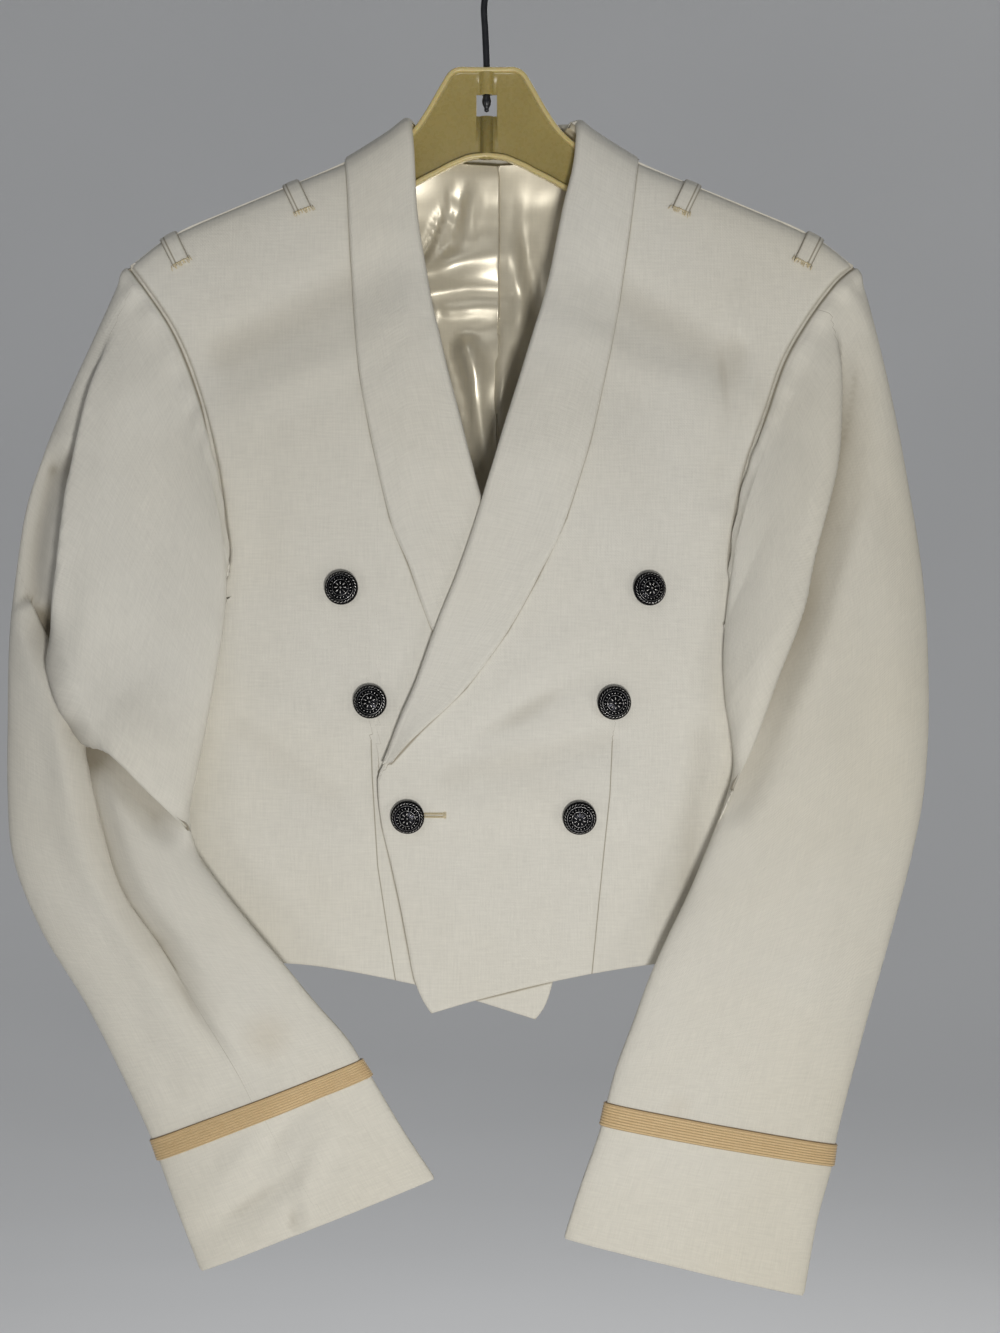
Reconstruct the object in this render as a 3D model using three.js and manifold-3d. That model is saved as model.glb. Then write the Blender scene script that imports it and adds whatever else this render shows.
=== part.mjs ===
// A waist-length, double-breasted white mess jacket with a shawl collar, on its plastic coat hanger.
// Sizes are in millimetres. +Z is up, the jacket's front faces -Y, and +X is the wearer's left.
// The origin is the point under the top of the wire hook that rests on a rail.
import * as THREE from "three";
import { mergeVertices } from "three/addons/utils/BufferGeometryUtils.js";
import Module from "manifold-3d";

const wasm = await Module();
wasm.setup();

const { lerp, smoothstep, clamp } = THREE.MathUtils;

// Driving sizes
const CLOTH = 1.8; // drill shell with its canvas
const LINING = 1.0;
const SEAM_GAP = 0.3;
const SEAT = CLOTH + SEAM_GAP; // how far a piece stands out from the one that it lies on
const ARMHOLE_GAP = 1.7;
const ARMPIT_Z = -397;
const BUTTON = { diameter: 19, edge: 1.6, height: 7.6, shank: 3.2, stand: 2.6, facets: 16 };
const LOOP = { width: 9.5, front: 20, back: 24, thick: 1.2, lean: 0.4 };
const BRAID_THICK = 1.0;
const WIRE_DIAMETER = 3.9;
const HOOK_RADIUS = 19; // inside the curl
const HANGER = {
  centre: -3, // the plate sits a little to the right of the jacket's middle
  depth: 8.4,
  web: 2.8,
  rim: 2.6,
  rib: 8,
  ribTop: -88,
  ribLow: -140,
  slotLow: -115,
  slotHigh: -102.5,
  slotHalf: 5.8,
};

// The outline of the body: the height of the shoulder line at each distance from the centre
const SHOULDER = [
  { x: 0, z: -113 },
  { x: 30, z: -114 },
  { x: 46, z: -117 },
  { x: 57, z: -125 },
  { x: 70, z: -133.5 },
  { x: 83, z: -141 },
  { x: 97, z: -146.8 },
  { x: 110, z: -152 },
  { x: 144, z: -166 },
  { x: 170, z: -177 },
  { x: 188, z: -186 },
  { x: 206, z: -200 },
];

// Half the body's width at each height, as if it had no armholes
const BODY_WIDTH = [
  { z: -600, half: 172 },
  { z: -530, half: 178 },
  { z: -450, half: 182 },
  { z: -397, half: 184 },
  { z: -365, half: 190 },
  { z: -280, half: 208 },
  { z: -200, half: 228 },
  { z: -110, half: 240 },
];

// How far the front and the back stand from the middle, at each drop below the shoulder line
const BODY_DEPTH = [
  { drop: 0, front: 0, back: 0 },
  { drop: 3, front: 5.4, back: 5.4 },
  { drop: 8, front: 8.7, back: 8.7 },
  { drop: 20, front: 11.5, back: 12.5 },
  { drop: 50, front: 14, back: 18 },
  { drop: 85, front: 16, back: 21 },
  { drop: 130, front: 23, back: 24 },
  { drop: 200, front: 29, back: 26 },
  { drop: 300, front: 33, back: 27 },
  { drop: 400, front: 32, back: 26 },
  { drop: 500, front: 29, back: 24 },
];
const BODY_ROUNDNESS = 2.6;

// Soft troughs in the fronts, each along a line from one end to the other
const FRONT_FOLDS = [
  { name: "under right arm of hanger", from: { x: -150, z: -250 }, to: { x: -62, z: -204 }, width: 17, deep: 3.4 },
  { name: "under left arm of hanger", from: { x: 62, z: -212 }, to: { x: 128, z: -252 }, width: 17, deep: 3.2 },
  { name: "from break to middle button", from: { x: -22, z: -490 }, to: { x: 64, z: -470 }, width: 13, deep: 2.6 },
  { name: "right waist", from: { x: -142, z: -462 }, to: { x: -92, z: -500 }, width: 14, deep: 2.4 },
  { name: "left waist", from: { x: 118, z: -470 }, to: { x: 108, z: -580 }, width: 13, deep: 2.6 },
  { name: "left armhole", from: { x: 140, z: -250 }, to: { x: 126, z: -330 }, width: 8, deep: 1.8 },
];

// Soft troughs down the back, from the shoulder blades to the waist
const BACK_FOLDS = [
  { name: "right blade", from: { x: -120, z: -260 }, to: { x: -92, z: -420 }, width: 17, deep: 2.6 },
  { name: "left blade", from: { x: 128, z: -250 }, to: { x: 98, z: -400 }, width: 16, deep: 2.4 },
  { name: "right waist", from: { x: -140, z: -500 }, to: { x: -60, z: -540 }, width: 13, deep: 2 },
  { name: "left waist", from: { x: 60, z: -520 }, to: { x: 150, z: -488 }, width: 13, deep: 2.2 },
];

// The fall of the shawl collar at the back of the neck: its roll and its outer edge are quarters of an ellipse
// from the centre back to the shoulder, and rollY is how far back the roll stands.
const FALL = { rollX: 46.5, rollZ: -118.2, rollY: 21.5, edgeX: 83, edgeLow: -160.5, edgeHigh: -141, rows: 5, steps: 2 };

// The shawl collar in front, a row for each section from the shoulder to the break of the lapel
const SHAWL_GRID = { shoulderSteps: 5, steps: 2, columns: 4, ease: 0.7 };
const SHAWL_PUFF = { room: 1.3, from: -300, to: -345 }; // how far the lapel stands off the chest, down to the overlap
const SHAWL_LEFT = [
  { rollX: 48, rollZ: -117.5, edgeX: 83, edgeZ: -141 },
  { rollX: 46.5, rollZ: -139, edgeX: 80.5, edgeZ: -160 },
  { rollX: 40.5, rollZ: -167, edgeX: 77, edgeZ: -187.5 },
  { rollX: 32.5, rollZ: -207.5, edgeX: 72, edgeZ: -221.5 },
  { rollX: 22, rollZ: -244, edgeX: 65.5, edgeZ: -255 },
  { rollX: 9, rollZ: -286, edgeX: 55, edgeZ: -302 },
  { rollX: -5, rollZ: -333, edgeX: 41.5, edgeZ: -345.5 },
  { rollX: -17.5, rollZ: -371, edgeX: 25.5, edgeZ: -379 },
  { rollX: -30.5, rollZ: -403.5, edgeX: 9, edgeZ: -408.5 },
  { rollX: -42, rollZ: -436, edgeX: -14.5, edgeZ: -440.5 },
  { rollX: -52, rollZ: -460.5, edgeX: -40, edgeZ: -465 },
  { rollX: -60.5, rollZ: -482, edgeX: -55.5, edgeZ: -482 },
];
const SHAWL_RIGHT = [
  { rollX: -46, rollZ: -117, edgeX: -83, edgeZ: -141 },
  { rollX: -44, rollZ: -138, edgeX: -81.5, edgeZ: -160 },
  { rollX: -42.5, rollZ: -167, edgeX: -80, edgeZ: -192.5 },
  { rollX: -36.5, rollZ: -208.5, edgeX: -78, edgeZ: -224.5 },
  { rollX: -28.5, rollZ: -246, edgeX: -74.5, edgeZ: -262 },
  { rollX: -18.5, rollZ: -285.5, edgeX: -68, edgeZ: -298 },
  { rollX: -6, rollZ: -333, edgeX: -57, edgeZ: -345.5 },
  { rollX: 8, rollZ: -371, edgeX: -46, edgeZ: -373 },
  { rollX: 18, rollZ: -396.5, edgeX: -33, edgeZ: -408.5 },
  { rollX: 30.5, rollZ: -430, edgeX: -7.5, edgeZ: -440.5 },
  { rollX: 41.5, rollZ: -457.5, edgeX: 19.5, edgeZ: -463.5 },
  { rollX: 50, rollZ: -479, edgeX: 42, edgeZ: -481 },
];

// The edge of each front below the break, down to its point
const FRONT_EDGE_LEFT = [
  { x: -63.5, z: -489 },
  { x: -63.5, z: -499.5 },
  { x: -61.5, z: -517 },
  { x: -56.5, z: -538.5 },
  { x: -51, z: -564 },
  { x: -47, z: -585.5 },
  { x: -43.5, z: -603.5 },
  { x: -39, z: -615 },
  { x: -34, z: -623 },
];
const FRONT_EDGE_RIGHT = [
  { x: 54, z: -489 },
  { x: 54, z: -499.5 },
  { x: 52, z: -517.5 },
  { x: 47, z: -539 },
  { x: 41.5, z: -564.5 },
  { x: 37.5, z: -586 },
  { x: 34, z: -606.5 },
  { x: 29.5, z: -619.5 },
  { x: 24.5, z: -626.5 },
];

// The hem of each front from its point to the side seam, whose own x comes from BODY_WIDTH
const HEM_LEFT = [
  { x: -34, z: -623 },
  { x: -8.5, z: -615.5 },
  { x: 34.5, z: -605 },
  { x: 75.5, z: -597.5 },
  { x: 118, z: -593 },
];
const HEM_RIGHT = [
  { x: 24.5, z: -626.5 },
  { x: -9, z: -616 },
  { x: -43, z: -607 },
  { x: -95.5, z: -597 },
  { x: -128, z: -594.5 },
];
const HEM_BACK = [
  { x: 0, z: -606 },
  { x: 50, z: -600 },
  { x: 110, z: -594 },
];
const SIDE_HEM_Z = -592;

// The front armhole seams from the shoulder down to the corner in front of the armpit, then under the arm
const ARMHOLE_LEFT = [
  { x: 206, z: -200 },
  { x: 197, z: -207 },
  { x: 181, z: -227 },
  { x: 165, z: -254 },
  { x: 155, z: -282 },
  { x: 143, z: -316 },
  { x: 136, z: -350 },
  { x: 134, z: -376 },
];
const ARMHOLE_RIGHT = [
  { x: -206, z: -200 },
  { x: -199, z: -209 },
  { x: -179, z: -239 },
  { x: -164, z: -277 },
  { x: -154, z: -318 },
  { x: -150, z: -345 },
  { x: -148, z: -368 },
];
const UNDERARM = [
  { along: 0.16, drop: 0.62 },
  { along: 0.5, drop: 0.93 },
]; // shares of the way from the corner to the armpit
const ARMHOLE_BACK = [
  { x: 206, z: -200 },
  { x: 203, z: -222 },
  { x: 194, z: -250 },
  { x: 184, z: -285 },
  { x: 178, z: -320 },
  { x: 177, z: -350 },
  { x: 180, z: -376 },
];
const BACK_NECK = [
  { x: 0, z: -146 },
  { x: 22, z: -143 },
  { x: 38, z: -131 },
];

// The sleeves, a row for each section: the two edges that show from the front and how far back each is,
// then how far the section bulges to the front and to the back
const SLEEVE_RIGHT = [
  { outX: -216, outZ: -211, inX: -146.5, inZ: -385.5, outY: 1, inY: -29, front: 15, back: 19 },
  { outX: -226.5, outZ: -237, inX: -148.5, inZ: -402.5, outY: 2, inY: -30, front: 15, back: 17 },
  { outX: -243.5, outZ: -275.5, inX: -151.5, inZ: -419, outY: 3, inY: -31, front: 14, back: 16 },
  { outX: -254.5, outZ: -303, inX: -156, inZ: -442, outY: 3, inY: -32, front: 14, back: 15 },
  { outX: -265.5, outZ: -336, inX: -160, inZ: -464.5, outY: 3, inY: -33, front: 15, back: 14 },
  { outX: -271.5, outZ: -374, inX: -164.5, inZ: -487, outY: 2, inY: -34, front: 15, back: 14 },
  { outX: -275, outZ: -413, inX: -168.5, inZ: -511.5, outY: 0, inY: -36, front: 15, back: 13 },
  { outX: -275.5, outZ: -459, inX: -164.5, inZ: -531, outY: -3, inY: -38, front: 15, back: 13 },
  { outX: -275, outZ: -498.5, inX: -153, inZ: -548, outY: -7, inY: -42, front: 14, back: 13 },
  { outX: -271.5, outZ: -535.5, inX: -135.5, inZ: -569.5, outY: -11, inY: -46, front: 14, back: 12 },
  { outX: -255.5, outZ: -575.5, inX: -117.5, inZ: -590.5, outY: -16, inY: -48, front: 14, back: 12 },
  { outX: -228, outZ: -619.5, inX: -98, inZ: -614, outY: -22, inY: -49, front: 14, back: 12 },
  { outX: -204, outZ: -665.5, inX: -79.5, inZ: -635, outY: -27, inY: -49, front: 13, back: 12 },
  { outX: -191, outZ: -693, inX: -72.5, inZ: -646, outY: -30, inY: -49, front: 12, back: 11 },
  { outX: -186.5, outZ: -705, inX: -66.5, inZ: -655.5, outY: -31, inY: -49, front: 12, back: 11 },
  { outX: -177.5, outZ: -729.5, inX: -49.5, inZ: -684, outY: -33, inY: -49, front: 10, back: 10 },
  { outX: -163, outZ: -766.5, inX: -31, inZ: -712, outY: -35, inY: -49, front: 9, back: 9 },
];
const SLEEVE_LEFT = [
  { outX: 217, outZ: -219, inX: 130.5, inZ: -394.5, outY: 1, inY: -32, front: 14, back: 19 },
  { outX: 221, outZ: -237, inX: 129, inZ: -411.5, outY: 2, inY: -33, front: 14, back: 17 },
  { outX: 227.5, outZ: -267.5, inX: 128.5, inZ: -430, outY: 3, inY: -34, front: 14, back: 16 },
  { outX: 233, outZ: -297, inX: 130.5, inZ: -449.5, outY: 3, inY: -35, front: 14, back: 15 },
  { outX: 238.5, outZ: -328, inX: 133.5, inZ: -468, outY: 3, inY: -36, front: 14, back: 14 },
  { outX: 243.5, outZ: -359, inX: 134.5, inZ: -486, outY: 2, inY: -37, front: 15, back: 14 },
  { outX: 247, outZ: -390, inX: 129.5, inZ: -505.5, outY: 1, inY: -38, front: 15, back: 13 },
  { outX: 248.5, outZ: -427, inX: 119.5, inZ: -530.5, outY: -2, inY: -41, front: 15, back: 13 },
  { outX: 248, outZ: -467, inX: 108.5, inZ: -556, outY: -6, inY: -44, front: 14, back: 13 },
  { outX: 244.5, outZ: -503.5, inX: 97.5, inZ: -578, outY: -10, inY: -47, front: 14, back: 12 },
  { outX: 237, outZ: -538, inX: 87.5, inZ: -600, outY: -14, inY: -49, front: 14, back: 12 },
  { outX: 225.5, outZ: -578.5, inX: 78, inZ: -625.5, outY: -19, inY: -50, front: 14, back: 12 },
  { outX: 208, outZ: -639, inX: 69, inZ: -649.5, outY: -24, inY: -50, front: 13, back: 12 },
  { outX: 193, outZ: -696, inX: 63.5, inZ: -669.5, outY: -28, inY: -50, front: 12, back: 11 },
  { outX: 191, outZ: -708.5, inX: 60.5, inZ: -682.5, outY: -29, inY: -50, front: 12, back: 11 },
  { outX: 183, outZ: -737.5, inX: 48.5, inZ: -717, outY: -31, inY: -50, front: 10, back: 10 },
  { outX: 175, outZ: -780.5, inX: 39.5, inZ: -745, outY: -33, inY: -50, front: 9, back: 9 },
];
const BRAID_ROWS = { upper: 13, lower: 14 }; // the rows above that the braid's two edges follow
const SLEEVE_BLEND = [0.3, 0.65, 0.9]; // how far the first rows have left the armhole's shape

// Where the cloth of the upper sleeve lies over the lower one, from the shoulder down the fold's edge
const LEDGE_RIGHT = [
  { x: -222.5, z: -239 },
  { x: -233, z: -274.5 },
  { x: -238, z: -327.5 },
  { x: -243, z: -377 },
  { x: -246, z: -418 },
  { x: -240, z: -440 },
  { x: -233, z: -455.5 },
  { x: -225.5, z: -470.5 },
  { x: -213.5, z: -473.5 },
  { x: -189, z: -497 },
  { x: -167.5, z: -520.5 },
];
const LEDGE_LEFT = [
  { x: 210, z: -229 },
  { x: 207, z: -270.5 },
  { x: 202, z: -297 },
  { x: 196, z: -321.5 },
  { x: 180, z: -367 },
  { x: 170.5, z: -400.5 },
  { x: 157.5, z: -434 },
  { x: 144, z: -473.5 },
  { x: 134, z: -497 },
];
const LEDGE = { rise: 9, run: 9, reach: 60 };

// The deep creases of each sleeve, each a soft trough through the points listed
const SLEEVE_CREASES_RIGHT = [
  {
    name: "down the forearm",
    width: 9,
    deep: 9,
    path: [
      { x: -263.5, z: -388.5 },
      { x: -253.5, z: -412.5 },
      { x: -241, z: -436 },
      { x: -233, z: -465.5 },
      { x: -220, z: -518.5 },
      { x: -207.5, z: -554 },
      { x: -184, z: -585.5 },
      { x: -162, z: -620.5 },
      { x: -143.5, z: -651 },
    ],
  },
  {
    name: "under the fold",
    width: 8,
    deep: 8,
    path: [
      { x: -236, z: -451.5 },
      { x: -218, z: -481 },
      { x: -192.5, z: -506.5 },
      { x: -173, z: -528.5 },
    ],
  },
  {
    name: "outer elbow",
    width: 8,
    deep: 5,
    path: [
      { x: -251.5, z: -329.5 },
      { x: -257.5, z: -373 },
    ],
  },
  {
    name: "below cap",
    width: 8,
    deep: 2.5,
    path: [
      { x: -210.5, z: -235.5 },
      { x: -196.5, z: -265 },
    ],
  },
];
const SLEEVE_CREASES_LEFT = [
  {
    name: "under the fold",
    width: 13,
    deep: 6,
    path: [
      { x: 212.5, z: -253 },
      { x: 203.5, z: -312 },
      { x: 185, z: -376 },
      { x: 159.5, z: -447.5 },
      { x: 137.5, z: -499 },
    ],
  },
  {
    name: "front of arm",
    width: 11,
    deep: 4.5,
    path: [
      { x: 175, z: -292.5 },
      { x: 169, z: -341.5 },
      { x: 157.5, z: -392.5 },
    ],
  },
  {
    name: "below cap",
    width: 8,
    deep: 3,
    path: [
      { x: 202.5, z: -247 },
      { x: 183, z: -255 },
    ],
  },
];

const BUTTONS = [
  { name: "button_right_upper", x: -84, z: -384.5, over: false },
  { name: "button_right_middle", x: -68, z: -448, over: false },
  { name: "button_right_lower", x: -47, z: -512, over: true },
  { name: "button_left_upper", x: 87.5, z: -385, over: true },
  { name: "button_left_middle", x: 68, z: -448.5, over: true },
  { name: "button_left_lower", x: 49, z: -512.5, over: true },
];

const LOOPS = [
  { name: "shoulder_loop_right_inner", x: -114.5 },
  { name: "shoulder_loop_right_outer", x: -184 },
  { name: "shoulder_loop_left_inner", x: 114.5 },
  { name: "shoulder_loop_left_outer", x: 184 },
];

// Half of the hanger's outline, from the middle of the neck plate to the tip of an arm
const HANGER_HALF = [
  { x: 0, top: -87.2, bottom: -138.5 },
  { x: 9, top: -87.2, bottom: -139.5 },
  { x: 17, top: -87.4, bottom: -142.5 },
  { x: 21.5, top: -90, bottom: -144.5 },
  { x: 26, top: -97, bottom: -147 },
  { x: 35, top: -112.5, bottom: -151.5 },
  { x: 42, top: -122.5, bottom: -155.5 },
  { x: 50, top: -130, bottom: -160 },
  { x: 60, top: -137, bottom: -165 },
  { x: 83, top: -150.5, bottom: -177 },
  { x: 110, top: -161.5, bottom: -190 },
  { x: 144, top: -176, bottom: -203 },
  { x: 170, top: -187.5, bottom: -211 },
  { x: 184, top: -197, bottom: -215 },
  { x: 189, top: -203, bottom: -212 },
];
const HANGER_ARM_FROM = 60; // further out the arms are centred on the jacket

// A smooth value of one column over another, through the rows of a table
function column(rows, across, value) {
  const sorted = [...rows].sort((a, b) => a[across] - b[across]);
  const at = sorted.map((row) => row[across]);
  const to = sorted.map((row) => row[value]);
  const last = at.length - 1;
  const slope = at.map((_, i) => {
    if (i === 0) return (to[1] - to[0]) / (at[1] - at[0]);
    if (i === last) return (to[last] - to[last - 1]) / (at[last] - at[last - 1]);
    const before = (to[i] - to[i - 1]) / (at[i] - at[i - 1]);
    const after = (to[i + 1] - to[i]) / (at[i + 1] - at[i]);
    return before * after <= 0 ? 0 : (2 * before * after) / (before + after);
  });
  return (position) => {
    const x = clamp(position, at[0], at[last]);
    const i = clamp(at.findIndex((a) => a >= x) - 1, 0, last - 1);
    const span = at[i + 1] - at[i];
    const t = (x - at[i]) / span;
    const s = t * t * (3 - 2 * t);
    const bend = t * (1 - t) * span * ((1 - t) * slope[i] - t * slope[i + 1]);
    return lerp(to[i], to[i + 1], s) + bend;
  };
}

const shoulderLine = column(SHOULDER, "x", "z");
const bodyHalf = column(BODY_WIDTH, "z", "half");
const frontDrop = column(BODY_DEPTH, "drop", "front");
const backDrop = column(BODY_DEPTH, "drop", "back");

const shoulderZ = (x) => shoulderLine(Math.abs(x));

// A curve through the rows of a table, in the plane of the front
function curve(rows) {
  return new THREE.CatmullRomCurve3(
    rows.map((row) => new THREE.Vector3(row.x, 0, row.z)),
    false,
    "centripetal",
  );
}

// The distance from a point to a path, and on which side of it the point is
function nearPath(path, x, z) {
  let nearest = { distance: Infinity, side: 1 };
  for (let i = 0; i < path.length - 1; i++) {
    const [from, to] = [path[i], path[i + 1]];
    const [dx, dz] = [to.x - from.x, to.z - from.z];
    const [px, pz] = [x - from.x, z - from.z];
    const t = clamp((px * dx + pz * dz) / (dx * dx + dz * dz), 0, 1);
    const distance = Math.hypot(px - t * dx, pz - t * dz);
    if (distance < nearest.distance) nearest = { distance, side: Math.sign(dx * pz - dz * px) || 1 };
  }
  return nearest;
}

const trough = (path, width, deep, x, z) => deep * Math.exp(-((nearPath(path, x, z).distance / width) ** 2));

const foldsAt = (folds, x, z) =>
  folds.reduce((sum, { from, to, width, deep }) => sum + trough([from, to], width, deep, x, z), 0);

// How round the body is towards its sides, from 1 in the middle to 0 at the side seam
function sideShare(x, z) {
  const share = Math.min(Math.abs(x) / bodyHalf(z), 1);
  return (1 - share ** BODY_ROUNDNESS) ** (1 / BODY_ROUNDNESS);
}

const below = (x, z) => Math.max(shoulderZ(x) - z, 0);
const frontDepth = (x, z) => {
  const share = sideShare(x, z);
  return (frontDrop(below(x, z)) - foldsAt(FRONT_FOLDS, x, z)) * share;
};
const backDepth = (x, z) => {
  const share = sideShare(x, z);
  return (backDrop(below(x, z)) - foldsAt(BACK_FOLDS, x, z)) * share;
};

// The left front lies over the right one and its lapel, so it stands further out where they are
const OVERLAP = { lapRoom: 3, topFrom: -250, topTo: -322, lapFrom: -530, lapTo: -500, sideFrom: 62, sideTo: 105 };
function overLift(x, z) {
  const room = CLOTH + 0.4 + OVERLAP.lapRoom * smoothstep(z, OVERLAP.lapFrom, OVERLAP.lapTo);
  const down = 1 - smoothstep(z, OVERLAP.topTo, OVERLAP.topFrom);
  return room * down * (1 - smoothstep(x, OVERLAP.sideFrom, OVERLAP.sideTo));
}

const onRightFront = (x, z) => new THREE.Vector3(x, -frontDepth(x, z) - SEAM_GAP / 2, z);
const onLeftFront = (x, z) => new THREE.Vector3(x, -frontDepth(x, z) - overLift(x, z) - SEAM_GAP / 2, z);
const onBack = (x, z) => new THREE.Vector3(x, backDepth(x, z) + SEAM_GAP / 2, z);

// Shares of the way across a panel, closer together towards its outer edge
const crossings = (count) =>
  Array.from({ length: count + 1 }, (_, c) => Math.sin(((c / count) * Math.PI) / 2));

// A grid of points between four edges that meet at their corners, each row pushed onto a surface.
// Rows are closer together at the top when crowd is above 1.
function patch(edges, rows, crowd, columns, surface) {
  const { inner, outer, top, bottom } = edges;
  const [topInner, topOuter] = [inner.getPointAt(0), outer.getPointAt(0)];
  const [lowInner, lowOuter] = [inner.getPointAt(1), outer.getPointAt(1)];
  return Array.from({ length: rows + 1 }, (_, r) => {
    const v = (r / rows) ** crowd;
    const [left, right] = [inner.getPointAt(v), outer.getPointAt(v)];
    return columns.map((u) => {
      const [up, down] = [top.getPointAt(u), bottom.getPointAt(u)];
      const at = (axis) =>
        lerp(left[axis], right[axis], u) +
        lerp(up[axis], down[axis], v) -
        lerp(lerp(topInner[axis], topOuter[axis], u), lerp(lowInner[axis], lowOuter[axis], u), v);
      return surface(at("x"), at("z"));
    });
  });
}

// The direction out of a grid at each of its points
function normalsOf(grid) {
  const rows = grid.length - 1;
  const columns = grid[0].length - 1;
  return grid.map((line, r) =>
    line.map((_, c) => {
      const down = grid[Math.min(r + 1, rows)][c].clone().sub(grid[Math.max(r - 1, 0)][c]);
      const across = line[Math.min(c + 1, columns)].clone().sub(line[Math.max(c - 1, 0)]);
      return down.cross(across).normalize();
    }),
  );
}

// The same grid, moved out by a distance; hand is -1 where its columns run the other way round
function movedOut(grid, distance, hand = 1, normals = normalsOf(grid)) {
  const moved = (point, normal) => point.clone().addScaledVector(normal, distance * hand);
  return grid.map((line, r) => line.map((point, c) => moved(point, normals[r][c])));
}

// Keeps a point on its own side of the seams between front and back, which lie in the plane y = 0
const keptFront = (point) => point.setY(Math.min(point.y, -SEAM_GAP / 2));
const keptBack = (point) => point.setY(Math.max(point.y, SEAM_GAP / 2));
const free = (point) => point;

// A closed wall whose outer face is the grid and whose inner face lies a thickness inside it
function wall(grid, thickness, hand = 1, { keep = free, normals = normalsOf(grid) } = {}) {
  const inside = movedOut(grid, -thickness, hand, normals).map((line) => line.map(keep));
  const rows = grid.length;
  const columns = grid[0].length;
  const positions = [grid, inside].flat(2).flatMap((point) => [point.x, point.y, point.z]);
  const at = (r, c, layer) => layer * rows * columns + r * columns + c;
  const index = [];
  const quad = (a, b, c, d) => index.push(a, b, c, a, c, d);
  for (let r = 0; r < rows - 1; r++)
    for (let c = 0; c < columns - 1; c++) {
      quad(at(r, c, 0), at(r + 1, c, 0), at(r + 1, c + 1, 0), at(r, c + 1, 0));
      quad(at(r, c, 1), at(r, c + 1, 1), at(r + 1, c + 1, 1), at(r + 1, c, 1));
    }
  for (let r = 0; r < rows - 1; r++) {
    quad(at(r, 0, 0), at(r, 0, 1), at(r + 1, 0, 1), at(r + 1, 0, 0));
    quad(at(r, columns - 1, 0), at(r + 1, columns - 1, 0), at(r + 1, columns - 1, 1), at(r, columns - 1, 1));
  }
  for (let c = 0; c < columns - 1; c++) {
    quad(at(0, c, 0), at(0, c + 1, 0), at(0, c + 1, 1), at(0, c, 1));
    quad(at(rows - 1, c, 0), at(rows - 1, c, 1), at(rows - 1, c + 1, 1), at(rows - 1, c + 1, 0));
  }
  if (hand < 0) index.reverse();
  const geometry = new THREE.BufferGeometry();
  geometry.setAttribute("position", new THREE.Float32BufferAttribute(positions, 3));
  geometry.setIndex(index);
  geometry.computeVertexNormals();
  return geometry;
}

// A closed band round a tube: every row of the grid runs all the way round
function band(grid, gap, thickness, hand) {
  const open = grid.map((line) => line.slice(0, -1));
  const columns = open[0].length;
  const normals = grid.map((line, r) =>
    open[r].map((_, c) => {
      const down = grid[1][c].clone().sub(grid[0][c]);
      const across = open[r][(c + 1) % columns].clone().sub(open[r][(c + columns - 1) % columns]);
      return down.cross(across).normalize().multiplyScalar(hand);
    }),
  );
  const rings = [
    open[0].map((p, c) => p.clone().addScaledVector(normals[0][c], gap + thickness)),
    open[1].map((p, c) => p.clone().addScaledVector(normals[1][c], gap + thickness)),
    open[1].map((p, c) => p.clone().addScaledVector(normals[1][c], gap)),
    open[0].map((p, c) => p.clone().addScaledVector(normals[0][c], gap)),
  ];
  const positions = rings.flat().flatMap((point) => [point.x, point.y, point.z]);
  const index = [];
  rings.forEach((_, ring) => {
    const next = (ring + 1) % rings.length;
    for (let c = 0; c < columns; c++) {
      const [a, b] = [ring * columns + c, next * columns + c];
      const [d, e] = [ring * columns + ((c + 1) % columns), next * columns + ((c + 1) % columns)];
      if (hand > 0) index.push(a, b, e, a, e, d);
      else index.push(a, e, b, a, d, e);
    }
  });
  const geometry = new THREE.BufferGeometry();
  geometry.setAttribute("position", new THREE.Float32BufferAttribute(positions, 3));
  geometry.setIndex(index);
  geometry.computeVertexNormals();
  return geometry;
}

// Materials
const finish = (color, roughness, metalness = 0) =>
  new THREE.MeshStandardMaterial({ color, roughness, metalness });
const drill = finish(0xe9e4d6, 0.85);
const satin = finish(0xe2dac2, 0.35);
const braidFinish = finish(0xe8cb9a, 0.7);
const oxidised = finish(0x2b2a2c, 0.35, 0.9);
const hangerPlastic = finish(0xb39a55, 0.4);
const wireFinish = finish(0x17181b, 0.35, 0.3);

const jacket = new THREE.Group();
function add(name, geometry, material) {
  const mesh = new THREE.Mesh(geometry, material);
  mesh.name = name;
  jacket.add(mesh);
}

// The side seam below the armpit, where the body is widest
const SIDE_ROWS = 4;
const sideSeam = (side) =>
  Array.from({ length: SIDE_ROWS + 1 }, (_, i) => {
    const z = lerp(ARMPIT_Z, SIDE_HEM_Z, i / SIDE_ROWS);
    return { x: side * bodyHalf(z), z };
  });

// The seam from the front corner of the armhole to the armpit
function underarm(corner, side) {
  const armpitX = side * bodyHalf(ARMPIT_Z);
  return UNDERARM.map(({ along, drop }) => ({
    x: lerp(corner.x, armpitX, along),
    z: lerp(corner.z, ARMPIT_Z, drop),
  }));
}

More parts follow.
